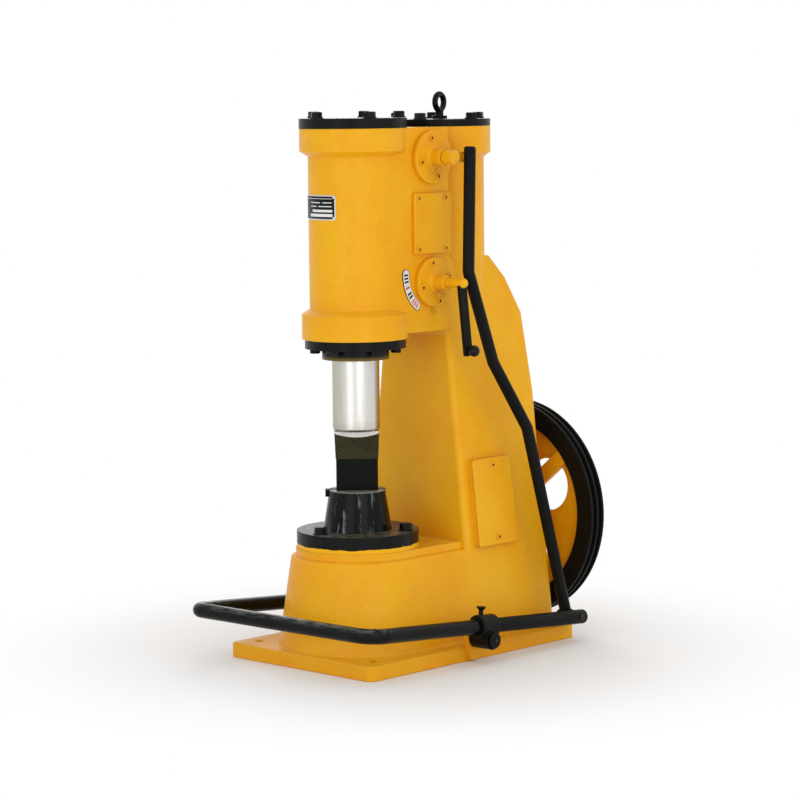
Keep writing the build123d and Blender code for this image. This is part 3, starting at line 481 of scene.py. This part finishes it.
def placed(grid, point, axis, turn=0.0):
    """A grid drawn about +Z, turned about that line, with the line set at point along axis."""
    rise = np.array(axis) / np.linalg.norm(axis)
    aside = np.cross((0, 0, 1), rise) if abs(rise[2]) < near_upright else np.array((1.0, 0, 0))
    aside = aside / np.linalg.norm(aside)
    across = np.cross(rise, aside)
    first = np.cos(turn) * aside + np.sin(turn) * across
    second = np.cos(turn) * across - np.sin(turn) * aside
    return np.array(point) + grid @ np.stack((first, second, rise))


def ring_of(grid, centre, axis, radius, count, first_degrees, turns=0.0):
    """Copies of a grid, count of them, evenly round a circle about an axis through centre;
    the angle is counted from +X round Z, or from +Y round X, or from +X round Y."""
    angles = np.radians(first_degrees + 360 / count * np.arange(count))
    along = np.argmax(np.abs(axis))
    first, second = {2: (0, 1), 0: (1, 2), 1: (0, 2)}[along]
    grids = []
    for number, angle in enumerate(angles):
        point = np.array(centre, float)
        point[first] += radius * np.cos(angle)
        point[second] += radius * np.sin(angle)
        grids.append(placed(grid, point, axis, angle + turns * number))
    return grids


def add_piece(name, grids, finishes, body, band_finish=None):
    """A surface piece that rides on a body, with the finishes given."""
    piece = surface_piece(name, grids, finishes, band_finish)
    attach(piece, body)
    return piece


bolt_black = black_paint(
    "bolt_black", rough_low=0.26, rough_high=0.40, edge_share=0.45, dust_share=0.12, specular=0.13)[0]
cover_bolt = hex_bolt(across=0.022, height=0.011, seat_radius=0.0145, seat_height=0.003)
under_bolt = hex_bolt(across=0.022, height=0.010, seat_radius=0.0138, seat_height=0.002)
uneven_turn = 0.37
front_cover_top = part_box("front_cylinder_cover")[1][2]
rear_cover_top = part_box("rear_cylinder_cover")[1][2]
lower_cover_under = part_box("lower_cylinder_cover")[0][2]
rear_axis_y = 0.276
add_piece("front_cover_bolts", ring_of(
    cover_bolt, (0, 0, front_cover_top), (0, 0, 1), radius=0.100, count=5, first_degrees=-95.9,
    turns=uneven_turn),
    [bolt_black], "frame")
add_piece("rear_cover_bolts", ring_of(
    cover_bolt, (0, rear_axis_y, rear_cover_top), (0, 0, 1), radius=0.097, count=5,
    first_degrees=-73.4, turns=uneven_turn),
    [bolt_black], "frame")
add_piece("lower_cover_bolts", ring_of(
    under_bolt, (0, 0, lower_cover_under), (0, 0, -1), radius=0.088, count=6, first_degrees=-136.4,
    turns=uneven_turn),
    [bolt_black], "frame")

# Ram: a ground steel bar that slides in the front cylinder and holds the upper die.
# Fine turning rings run round it, oil smears down it, its lower end is darker, and its two flanks, left and
# right as seen from the camera, carry a painted dark reflection.
drawn_marks, drawn_in, drawn_out = shader_group(
    "drawn_marks", {"Stretch": (3.0, 3.0, 600.0)}, {"Height": "Float", "Tone": "Float"})
drawn_place = shader_node(
    drawn_marks, "VectorMath",
    {0: shader_node(drawn_marks, "TexCoord").outputs["Object"], 1: drawn_in["Stretch"]},
    operation="MULTIPLY").outputs[0]
drawn_noise = shader_node(
    drawn_marks, "TexNoise",
    {"Vector": drawn_place, "Scale": 1.0, "Detail": 4.0, "Roughness": 0.6}).outputs[0]
drawn_marks.links.new(drawn_noise, drawn_out["Height"])
drawn_marks.links.new(spread(drawn_marks, drawn_noise, 0.34, 0.66), drawn_out["Tone"])

steel_bright = (0.70, 0.69, 0.66, 1)
steel_dull = (0.59, 0.58, 0.55, 1)
steel_oiled = (0.50, 0.46, 0.37, 1)
steel_dark_reflection = (0.36, 0.32, 0.21, 1)
steel_darkened = (0.30, 0.26, 0.19, 1)
ram_radius = 0.0505
ram_relief = 0.000012
oil_share = 0.6
end_dark_share = 0.5
end_dark_top, end_dark_full = 0.530, 0.504
reflection_flanks = [((-0.72, -0.69, 0), 0.026, 0.75), ((0.72, 0.69, 0), 0.040, 0.45)]
ram_steel, ram_tree, ram_shader = new_finish("ram_steel", {"Metallic": 1.0})
ram_rings = use_group(ram_tree, drawn_marks, Stretch=(4.0, 4.0, 900.0))
ram_smear = use_group(ram_tree, drawn_marks, Stretch=(42.0, 42.0, 3.0))
ram_rub = use_group(ram_tree, edge_rub_and_shade, Width=0.004, Corner=0.02)
ram_height = shader_node(
    ram_tree, "SeparateXYZ", {0: shader_node(ram_tree, "TexCoord").outputs["Object"]}).outputs["Z"]
ram_ground = mix_colour(ram_tree, ram_rings["Tone"], steel_dull, steel_bright)
ram_oiled = mix_colour(
    ram_tree, scaled(ram_tree, spread(ram_tree, ram_smear["Height"], 0.56, 0.78), oil_share),
    ram_ground, steel_oiled)
# The ram turns darker and browner towards its lower end.
ram_end = shader_node(
    ram_tree, "Math",
    {0: spread(ram_tree, ram_height, end_dark_top, end_dark_full),
     1: spread(ram_tree, ram_smear["Tone"], 0.0, 1.0, 0.5, 1.0)},
    operation="MULTIPLY").outputs[0]
# Painted dark reflection: the ram's two flanks across the view turn olive-dark.
ram_reflected = ram_oiled
for reflection_side, reflection_start, reflection_share in reflection_flanks:
    reflection_reach = shader_node(
        ram_tree, "VectorMath",
        {0: shader_node(ram_tree, "TexCoord").outputs["Object"], 1: reflection_side},
        operation="DOT_PRODUCT").outputs["Value"]
    ram_reflected = mix_colour(
        ram_tree, scaled(ram_tree, spread(ram_tree, reflection_reach, reflection_start, ram_radius), reflection_share),
        ram_reflected, steel_dark_reflection)
ram_end_darkened = mix_colour(
    ram_tree, scaled(ram_tree, ram_end, end_dark_share), ram_reflected, steel_darkened)
ram_tree.links.new(ram_end_darkened, ram_shader["Base Color"])
ram_tree.links.new(
    spread(ram_tree, ram_smear["Height"], 0.35, 0.75, 0.26, 0.42), ram_shader["Roughness"])
ram_tree.links.new(
    raised(ram_tree, ram_rings["Height"], ram_relief, ram_rub["Normal"]), ram_shader["Normal"])
finish_nodes(ram_steel, "ram", "crankshaft")

# Dies: forged steel blocks, dovetailed and keyed, set across the machine at 45 degrees.
# The upper one carries brown-grey scale from hot work and is bright at its root under the ram,
# and the lower one is nearly black.
scale_brown = (0.044, 0.038, 0.017, 1)
scale_grey = (0.016, 0.015, 0.007, 1)
scale_bared = (0.16, 0.15, 0.11, 1)
scale_sooty = (0.0020, 0.0028, 0.0018, 1)
scale_ash = (0.0060, 0.0070, 0.0050, 1)
scale_relief = 0.00022


def scaled_steel(name, dark, light, edge_share, metal):
    """Hot-worked steel: two scale colours by blotches and flakes, bared along struck edges."""
    finish, tree, shader = new_finish(name, {"Metallic": metal, "Specular IOR Level": 0.08})
    skin = use_group(tree, cast_skin, Wave_Scale=85.0, Peel_Scale=380.0, Wave_Share=2.0)
    flakes = shader_node(
        tree, "TexVoronoi",
        {"Vector": shader_node(tree, "TexCoord").outputs["Object"], "Scale": 150.0}).outputs["Distance"]
    rub = use_group(tree, edge_rub_and_shade, Width=0.0025, Corner=0.01)
    share = shader_node(
        tree, "Math", {0: skin["Tone"], 1: spread(tree, flakes, 0.1, 0.7, -0.25, 0.25)},
        operation="ADD", use_clamp=True).outputs[0]
    body = mix_colour(tree, share, dark, light)
    tree.links.new(
        mix_colour(tree, scaled(tree, rub["Edge"], edge_share), body, scale_bared),
        shader["Base Color"])
    tree.links.new(spread(tree, share, 0, 1, 0.42, 0.66), shader["Roughness"])
    tree.links.new(raised(tree, skin["Height"], scale_relief, rub["Normal"]), shader["Normal"])
    return finish, tree, shader


upper_scale, upper_tree, upper_shader = scaled_steel(
    "upper_die_scale", scale_grey, scale_brown, edge_share=0.35, metal=0.0)
root_low = 0.4885
root_bow = 3.5
root_fade = 0.0008
die_place = shader_node(
    upper_tree, "SeparateXYZ", {0: shader_node(upper_tree, "TexCoord").outputs["Object"]}).outputs
die_across = shader_node(
    upper_tree, "Math", {0: die_place["X"], 1: die_place["Y"]}, operation="ADD").outputs[0]
die_bow = shader_node(
    upper_tree, "Math", {0: die_across, 1: die_across}, operation="MULTIPLY").outputs[0]
die_drop = shader_node(
    upper_tree, "Math", {0: die_bow, 1: -root_bow / 2, 2: die_place["Z"]},
    operation="MULTIPLY_ADD").outputs[0]
die_root = spread(upper_tree, die_drop, root_low, root_low + root_fade)
upper_tree.links.new(
    mix_colour(upper_tree, die_root, upper_shader["Base Color"].links[0].from_socket, steel_dull),
    upper_shader["Base Color"])
upper_tree.links.new(die_root, upper_shader["Metallic"])
finish_nodes(upper_scale, "upper_die")
lower_scale = scaled_steel(
    "lower_die_scale", scale_sooty, scale_ash, edge_share=0.25, metal=0.0)[0]
finish_nodes(lower_scale, "lower_die", "lower_die_key")

# Anvil ring and die holder: a black ring that clamps the holder down on the anvil block.
# The holder is a turned cone in gloss black, with pale vertical streaks painted on as a reflection of the
# lamps, and pale at its rim.
ring_black, ring_tree, ring_shader, ring_colour = black_paint(
    "ring_black", rough_low=0.22, rough_high=0.38, edge_share=0.35, dust_share=0.85, specular=0.12)
paint_line = 0.2605
paint_line_fade = 0.0008
paint_line_wave = 0.007
ring_place = shader_node(ring_tree, "TexCoord").outputs["Object"]
ring_wave = shader_node(
    ring_tree, "TexNoise", {"Vector": ring_place, "Scale": 34.0, "Detail": 2.0}).outputs[0]
ring_level = shader_node(
    ring_tree, "Math",
    {0: ring_wave, 1: paint_line_wave,
     2: shader_node(ring_tree, "SeparateXYZ", {0: ring_place}).outputs["Z"]},
    operation="MULTIPLY_ADD").outputs[0]
ring_tree.links.new(
    mix_colour(ring_tree, spread(ring_tree, ring_level, paint_line, paint_line - paint_line_fade),
               ring_colour, yellow_full),
    ring_shader["Base Color"])
finish_nodes(ring_black, "anvil_ring")
holder_black, holder_tree, holder_shader, holder_colour = black_paint(
    "holder_black", rough_low=0.12, rough_high=0.22, edge_share=0.85, dust_share=0.35, specular=0.10)
reflection_streak_grey = (0.25, 0.25, 0.28, 1)
reflection_streak_share = 0.75
rim_bright = (0.26, 0.24, 0.20, 1)
rim_share = 0.8
rim_start, rim_full = 0.3692, 0.3708
# Painted reflection: pale vertical streaks round the gloss cone.
holder_reflection_streaks = use_group(holder_tree, drawn_marks, Stretch=(75.0, 75.0, 1.6))
holder_reflected = mix_colour(
    holder_tree, scaled(holder_tree, spread(holder_tree, holder_reflection_streaks["Height"], 0.55, 0.66), reflection_streak_share),
    holder_colour, reflection_streak_grey)
# A pale band runs round the holder's top rim.
holder_height = shader_node(
    holder_tree, "SeparateXYZ", {0: shader_node(holder_tree, "TexCoord").outputs["Object"]}).outputs["Z"]
holder_tree.links.new(
    mix_colour(
        holder_tree, scaled(holder_tree, spread(holder_tree, holder_height, rim_start, rim_full), rim_share),
        holder_reflected, rim_bright),
    holder_shader["Base Color"])
finish_nodes(holder_black, "die_holder")
ring_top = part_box("anvil_ring")[1][2]
ring_bolt = hex_bolt(across=0.024, height=0.013, seat_radius=0.016, seat_height=0.003)
add_piece("anvil_ring_bolts", ring_of(
    ring_bolt, (0, 0, ring_top), (0, 0, 1), radius=0.110, count=3, first_degrees=-93.0,
    turns=uneven_turn),
    [bolt_black], "frame")

# Valve and cover screws: small cheese heads with a six-sided socket, painted over in yellow with the
# machine; the faces inside the socket are dark brown as painted shade.
socket_deep = (0.10, 0.035, 0.004, 1)
socket_full = (0.24, 0.09, 0.008, 1)
socket_relief = 0.0001
# Painted shade: the faces inside each socket are dark brown.
socket_painted_shade, socket_tree, socket_shader = new_finish("socket_painted_shade", {"Roughness": 0.6})
socket_skin = use_group(socket_tree, cast_skin, Wave_Scale=120.0, Peel_Scale=800.0)
socket_tree.links.new(
    mix_colour(socket_tree, socket_skin["Tone"], socket_deep, socket_full),
    socket_shader["Base Color"])
socket_tree.links.new(
    raised(socket_tree, socket_skin["Height"], socket_relief), socket_shader["Normal"])
head_edge = 0.0009
head_sink = 0.001


def socket_screw(radius, height, socket_across, socket_depth):
    """A cheese head drawn about +Z from a little under its seat: a round wall, a chamfered rim,
    and a six-sided socket whose radius is half its width over the cosine from the nearest flat."""
    turn = np.linspace(0, 2 * np.pi, head_columns, endpoint=False)
    whole = np.ones(head_columns)
    flats = socket_across / 2 / np.cos(turn % (np.pi / 3) - np.pi / 6)
    floor_level = height - socket_depth
    reach = np.stack((0 * whole, radius * whole, radius * whole, (radius - head_edge) * whole,
                      flats, flats, 0 * whole))
    rise = np.stack((-head_sink * whole, -head_sink * whole, (height - head_edge) * whole,
                     height * whole, height * whole, floor_level * whole, floor_level * whole))
    return np.stack((reach * np.cos(turn), reach * np.sin(turn), rise), axis=-1)


screw_bands = (0, 0, 0, 0, 1, 1)
screw_finishes = [yellow_enamel, socket_painted_shade]
joint_places = {joint["name"]: joint.get("pos_m") for joint in frame["joints"]}
valve_axis_y = joint_places["crank_turn"][1]
valve_heights = {"upper": joint_places["crank_turn"][2], "lower": joint_places["hand_lever_turn"][2]}
valve_face_x = 0.113
valve_screw = socket_screw(radius=0.0065, height=0.0035, socket_across=0.006, socket_depth=0.0025)
for level, height in valve_heights.items():
    for side_name, side in (("right", 1), ("left", -1)):
        add_piece(f"{side_name}_{level}_valve_screws", ring_of(
            valve_screw, (side * valve_face_x, valve_axis_y, height), (side, 0, 0), radius=0.043,
            count=4, first_degrees=104.0, turns=uneven_turn),
            screw_finishes, "frame", screw_bands)

# Chest cover screws: four socket screws at the corners of each cast plate over the valve chest.
# Like the plates they are steel under yellow enamel, driven to no common angle.
chest_face_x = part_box("right_chest_cover")[1][0]
chest_screw_places = [(0.089, 1.005), (0.174, 1.005), (0.089, 0.8945), (0.174, 0.8945)]
turn_by_y, turn_by_z = 9, 7
chest_screw = socket_screw(radius=0.0060, height=0.0030, socket_across=0.0055, socket_depth=0.0022)
for side_name, side in (("right", 1), ("left", -1)):
    add_piece(f"{side_name}_chest_screws", [
        placed(chest_screw, (side * chest_face_x, y, z), (side, 0, 0), y * turn_by_y + z * turn_by_z)
        for y, z in chest_screw_places],
        screw_finishes, "frame", screw_bands)

# Access cover screws: two socket screws, one above the other, in the plate on each side of the
# tapered column. They stand square to the leaning plate and are painted over with it.
column_slope = 0.10997
lean = math.atan(column_slope)
cover_middle = np.array((0.14156, 0.278, 0.327))
cover_proud = 0.016
access_screw_rise = 0.080
access_turn = 1.0
access_turn_by_rise = 5
access_screw = socket_screw(radius=0.0070, height=0.0030, socket_across=0.006, socket_depth=0.0022)
for side_name, side in (("right", 1), ("left", -1)):
    out = np.array((side * math.cos(lean), 0, math.sin(lean)))
    up = np.array((-side * math.sin(lean), 0, math.cos(lean)))
    middle = cover_middle * (side, 1, 1) + cover_proud * out
    add_piece(f"{side_name}_access_screws", [
        placed(access_screw, middle + rise * up, out, access_turn + access_turn_by_rise * rise)
        for rise in (access_screw_rise, -access_screw_rise)],
        screw_finishes, "frame", screw_bands)

# Name plate: a thin metal plate, bent to the front cylinder and held by four snap rivets.
# It has a bright rim, a black field, two blank white panels and plain rules.
plate_grey = (0.52, 0.51, 0.48, 1)
plate_bright = (0.74, 0.73, 0.70, 1)
white_dull = (0.66, 0.65, 0.61, 1)
white_full = (0.80, 0.79, 0.76, 1)
plate_metal, plate_tree, plate_shader = new_finish("plate_metal", {"Metallic": 1.0})
plate_grain = use_group(plate_tree, drawn_marks, Stretch=(40.0, 40.0, 900.0))
plate_tree.links.new(
    mix_colour(plate_tree, plate_grain["Tone"], plate_grey, plate_bright),
    plate_shader["Base Color"])
plate_tree.links.new(
    spread(plate_tree, plate_grain["Tone"], 0, 1, 0.42, 0.30), plate_shader["Roughness"])
plate_white, white_tree, white_shader = new_finish("plate_white", {"Specular IOR Level": 0.4})
white_skin = use_group(white_tree, cast_skin, Wave_Scale=60.0, Peel_Scale=900.0)
white_tree.links.new(
    mix_colour(white_tree, white_skin["Tone"], white_dull, white_full),
    white_shader["Base Color"])
white_tree.links.new(
    spread(white_tree, white_skin["Tone"], 0, 1, 0.50, 0.36), white_shader["Roughness"])
cylinder_radius = 0.0985
plate_steps = 90


def swept_box(path, side, lift, half_width, half_thick):
    """A closed bar of four corners carried along a path: the corners lie at the path plus and
    minus half_width of side and half_thick of lift, and each end is drawn to its middle."""
    width = np.broadcast_to(np.asarray(half_width, float), len(path))[:, None]
    walls = np.stack([path + w * width * side + t * half_thick * lift
                      for w, t in ((1, 1), (-1, 1), (-1, -1), (1, -1))], axis=1)
    ends = walls[[0, -1]].mean(axis=1, keepdims=True).repeat(4, axis=1)
    return np.concatenate((ends[:1], walls, ends[1:]))


def plate_patch(first_degrees, last_degrees, low, high, under, over, cut=0.0):
    """A patch bent to the front cylinder between two angles and two heights, from radius under
    to radius over; its corners are cut by letting the half height fall towards each end."""
    turn = np.radians(np.linspace(first_degrees, last_degrees, plate_steps))
    lift = np.stack((np.cos(turn), np.sin(turn), 0 * turn), axis=-1)
    radius = (under + over) / 2
    path = radius * lift + np.array((0, 0, (low + high) / 2))
    run = radius * (turn - turn[0])
    to_end = np.minimum(run, run[-1] - run)
    half = (high - low) / 2 - np.clip(cut - to_end, 0, cut)
    return swept_box(path, np.array((0, 0, 1.0)), lift, half, (over - under) / 2)


plate_start, plate_end = -134.0, -68.5
plate_low, plate_high = 0.963, 1.017
rim_degrees = 1.7
rim_height = 0.003
plate_sink = 0.0004
plate_proud = 0.0009
field_thickness = 0.00015
print_thickness = 0.0001
plate_corner = 0.004
field_corner = 0.003
plate_back = cylinder_radius - plate_sink
plate_face = cylinder_radius + plate_proud
field_face = plate_face + field_thickness
print_face = field_face + print_thickness
add_piece("name_plate", [plate_patch(
    plate_start, plate_end, plate_low, plate_high, plate_back, plate_face, plate_corner)],
    [plate_metal], "frame")
plate_black = black_paint(
    "plate_black", rough_low=0.28, rough_high=0.40, edge_share=0.2, dust_share=0.0, specular=0.15)[0]
add_piece("name_plate_field", [plate_patch(
    plate_start + rim_degrees, plate_end - rim_degrees, plate_low + rim_height,
    plate_high - rim_height, cylinder_radius, field_face, field_corner)],
    [plate_black], "frame")
blank_panels = [(-108.0, -73.0, 0.9804, 0.9856), (-114.0, -73.0, 0.9704, 0.9767)]
plain_rules = [(-128.0, -74.0, 1.0085, 1.0095), (-112.0, -92.0, 0.9995, 1.0015),
               (-88.0, -74.0, 0.9995, 1.0015), (-112.0, -99.0, 0.9915, 0.9935),
               (-95.0, -74.0, 0.9915, 0.9935)]
add_piece("name_plate_panels", [
    plate_patch(first, last, low, high, plate_face, print_face)
    for first, last, low, high in blank_panels + plain_rules],
    [plate_white], "frame")
rivet_inset_degrees = 3.4
rivet_inset = 0.006
rivet_turns = (plate_start + rivet_inset_degrees, plate_end - rivet_inset_degrees)
rivet_heights = (plate_low + rivet_inset, plate_high - rivet_inset)


def dome(radius, height, rings=6):
    """A rivet's snap head about +Z: the radius goes with the cosine and the rise with the sine
    of one quarter turn, closed by a flat seat."""
    turn = np.linspace(0, 2 * np.pi, head_columns, endpoint=False)[None, :]
    lift = np.linspace(0, np.pi / 2, rings)[:, None]
    shell = np.stack((radius * np.cos(lift) * np.cos(turn), radius * np.cos(lift) * np.sin(turn),
                      height * np.sin(lift) + 0 * turn), axis=-1)
    return np.concatenate((0 * shell[:1], shell))


rivet = dome(radius=0.0021, height=0.0013)
rivet_grids = []
for rivet_turn in np.radians(rivet_turns):
    out = np.array((math.cos(rivet_turn), math.sin(rivet_turn), 0))
    for rivet_height in rivet_heights:
        rivet_grids.append(placed(rivet, plate_face * out + np.array((0, 0, rivet_height)), out))
add_piece("name_plate_rivets", rivet_grids, [plate_metal], "frame")

# Scale plate: a small white enamelled arc beside the lower valve with a dark rim.
# Plain black and red ticks mark the lever's travel.
arc_y, arc_z = 0.140, 0.841
arc_radius = 0.085
arc_half_width = 0.0105
arc_start, arc_end = 172.0, 240.0
arc_under = 0.0998
arc_face = 0.1020
arc_steps = 90
arc_rim = 0.0012
arc_rim_degrees = 0.9
face_proud = 0.0002
tick_proud = 0.0003
tick_half_length = 0.0062
tick_steps = 4
end_round_share = 0.98
rim_deep = (0.045, 0.035, 0.02, 1)
rim_full_tone = (0.10, 0.08, 0.05, 1)
red_deep = (0.62, 0.06, 0.02, 1)
red_full = (0.75, 0.10, 0.04, 1)


def arc_patch(first_degrees, last_degrees, radius, half_width, under, over, steps, rounded=True):
    """A flat strip along an arc about the plate's centre; each end is rounded by letting the half
    width follow a circle over the last half width of the run."""
    turn = np.radians(np.linspace(first_degrees, last_degrees, steps))
    out = np.stack((0 * turn, np.cos(turn), np.sin(turn)), axis=-1)
    path = np.array(((under + over) / 2, arc_y, arc_z)) + radius * out
    run = radius * (turn - turn[0])
    to_end = np.minimum(run, run[-1] - run)
    left = np.clip(1 - to_end / half_width, 0, 1) if rounded else 0 * run
    narrowed = half_width * np.sqrt(1 - left ** 2 * end_round_share)
    return swept_box(path, out, np.array((1.0, 0, 0)), narrowed, (over - under) / 2)


rim_dark, rim_tree, rim_shader = new_finish("rim_dark", {"Roughness": 0.45})
rim_skin = use_group(rim_tree, cast_skin, Wave_Scale=60.0, Peel_Scale=900.0)
rim_tree.links.new(
    mix_colour(rim_tree, rim_skin["Tone"], rim_deep, rim_full_tone),
    rim_shader["Base Color"])
tick_red, red_tree, red_shader = new_finish("tick_red", {"Roughness": 0.45})
red_skin = use_group(red_tree, cast_skin, Wave_Scale=60.0, Peel_Scale=900.0)
red_tree.links.new(
    mix_colour(red_tree, red_skin["Tone"], red_deep, red_full),
    red_shader["Base Color"])
add_piece("scale_plate", [arc_patch(
    arc_start, arc_end, arc_radius, arc_half_width, arc_under, arc_face, arc_steps)],
    [rim_dark], "frame")
add_piece("scale_plate_face", [arc_patch(
    arc_start + arc_rim_degrees, arc_end - arc_rim_degrees, arc_radius, arc_half_width - arc_rim,
    arc_under, arc_face + face_proud, arc_steps)],
    [plate_white], "frame")
tick_face = arc_face + tick_proud
black_ticks = [(180.5, 2.6), (185.5, 2.6), (190.5, 2.6), (209.0, 3.0), (214.5, 3.0)]
red_ticks = [(199.5, 3.0), (222.5, 2.6), (227.5, 2.6), (232.5, 2.6)]
for tick_name, ticks, tick_paint, tick_slot in (
    ("scale_plate_black_ticks", black_ticks, plate_black, "black_paint"),
    ("scale_plate_red_ticks", red_ticks, tick_red, "dark_steel"),
):
    add_piece(tick_name, [
        arc_patch(angle - width / 2, angle + width / 2, arc_radius, tick_half_length, arc_face, tick_face,
                  tick_steps, rounded=False)
        for angle, width in ticks], [tick_paint], "frame")

# Hand lever, rod and foot pedal: bent steel bar, brushed black. The rod and levers are dull,
# and the pedal's front bar is trodden shiny and bare along its top.
rod_black = black_paint(
    "rod_black", rough_low=0.40, rough_high=0.55, edge_share=0.30, dust_share=0.10, specular=0.10)[0]
finish_nodes(rod_black, "link_rod", "pedal_rear_bar", "hand_lever")
knob_black = black_paint(
    "knob_black", rough_low=0.16, rough_high=0.28, edge_share=0.2, dust_share=0.05, specular=0.18)[0]
finish_nodes(knob_black, "lever_knob")
fitting_black = black_paint(
    "fitting_black", rough_low=0.26, rough_high=0.42, edge_share=0.45, dust_share=0.14, specular=0.11)[0]
finish_nodes(
    fitting_black, "right_pivot_cap", "left_pivot_cap", "right_rocker_block", "left_rocker_block",
    "right_clamp_screw", "left_clamp_screw")
finish_nodes(yellow_enamel, "right_pedal_bracket", "left_pedal_bracket")
pedal_black, pedal_tree, pedal_shader, pedal_colour = black_paint(
    "pedal_black", rough_low=0.16, rough_high=0.30, edge_share=0.4, dust_share=0.05, specular=0.11)
pedal_bared = (0.20, 0.20, 0.19, 1)
bared_share = 0.75
bared_metal_share = 0.8
trodden_start, trodden_full = -0.150, -0.200
pedal_place = shader_node(
    pedal_tree, "SeparateXYZ", {0: shader_node(pedal_tree, "TexCoord").outputs["Object"]}).outputs
pedal_lift = shader_node(
    pedal_tree, "SeparateXYZ",
    {0: shader_node(pedal_tree, "NewGeometry").outputs["Normal"]}).outputs["Z"]
pedal_scuffs = use_group(pedal_tree, drawn_marks, Stretch=(30.0, 70.0, 160.0))
pedal_front = spread(pedal_tree, pedal_place["Y"], trodden_start, trodden_full)
pedal_trodden = shader_node(
    pedal_tree, "Math", {0: pedal_front, 1: spread(pedal_tree, pedal_lift, 0.35, 0.95)},
    operation="MULTIPLY").outputs[0]
pedal_bare = shader_node(
    pedal_tree, "Math",
    {0: pedal_trodden, 1: spread(pedal_tree, pedal_scuffs["Height"], 0.42, 0.66)},
    operation="MULTIPLY").outputs[0]
pedal_tree.links.new(
    mix_colour(pedal_tree, scaled(pedal_tree, pedal_bare, bared_share), pedal_colour, pedal_bared),
    pedal_shader["Base Color"])
pedal_tree.links.new(scaled(pedal_tree, pedal_bare, bared_metal_share), pedal_shader["Metallic"])
finish_nodes(pedal_black, "pedal_loop")
pin_dark = (0.020, 0.020, 0.017, 1)
pin_light = (0.055, 0.052, 0.045, 1)
pin_steel = scaled_steel("pin_steel", pin_dark, pin_light, edge_share=0.5, metal=0.6)[0]
finish_nodes(pin_steel, "link_pin")
pivot_y, pivot_z = joint_places["pedal_hinge"][1:]
pivot_cap_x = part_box("right_pivot_cap")[1][0]
pivot_screw = socket_screw(radius=0.0055, height=0.0022, socket_across=0.005, socket_depth=0.0016)
pivot_screw_turn = 0.4
add_piece("pivot_cap_screws", [
    placed(pivot_screw, (side * pivot_cap_x, pivot_y, pivot_z), (side, 0, 0), pivot_screw_turn)
    for side in (1, -1)], [bolt_black, socket_painted_shade], "frame", screw_bands)

# Flywheel: a cast wheel on the crankshaft, turned and painted black on its rim and left yellow
# at its web and hub. A plate with three screws holds it on the shaft.
wheel_black, wheel_tree, wheel_shader, wheel_colour = black_paint(
    "wheel_black", rough_low=0.34, rough_high=0.50, edge_share=0.10, dust_share=0.08, specular=0.10)
turned_share = 0.25
wheel_rings = use_group(wheel_tree, drawn_marks, Stretch=(5.0, 700.0, 5.0))
wheel_tree.links.new(
    mix_colour(
        wheel_tree,
        scaled(wheel_tree, spread(wheel_tree, wheel_rings["Height"], 0.55, 0.8), turned_share),
        wheel_colour, black_bared),
    wheel_shader["Base Color"])
finish_nodes(wheel_black, "flywheel_rim", "flywheel_end_plate")
wheel_axis_z = joint_places["flywheel_spin"][2]
end_plate_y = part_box("flywheel_end_plate")[1][1]
wheel_screw = socket_screw(radius=0.0065, height=0.0025, socket_across=0.006, socket_depth=0.0020)
add_piece("flywheel_plate_screws", ring_of(
    wheel_screw, (0, end_plate_y, wheel_axis_z), (0, 1, 0), radius=0.026, count=3, first_degrees=90.0,
    turns=uneven_turn),
    [bolt_black, socket_painted_shade], "flywheel", screw_bands)

# Bearing cap bolts: six hexagon heads on washers that hold the crankshaft's rear bearing cap.
# They are steel, and are painted yellow with the casting.
bearing_face_y = 0.472
bearing_bolt = hex_bolt(across=0.017, height=0.0060, seat_radius=0.0105, seat_height=0.0018)
add_piece("bearing_cap_bolts", ring_of(
    bearing_bolt, (0, bearing_face_y, wheel_axis_z), (0, 1, 0), radius=0.071, count=6,
    first_degrees=30.0, turns=uneven_turn),
    [yellow_enamel], "frame")
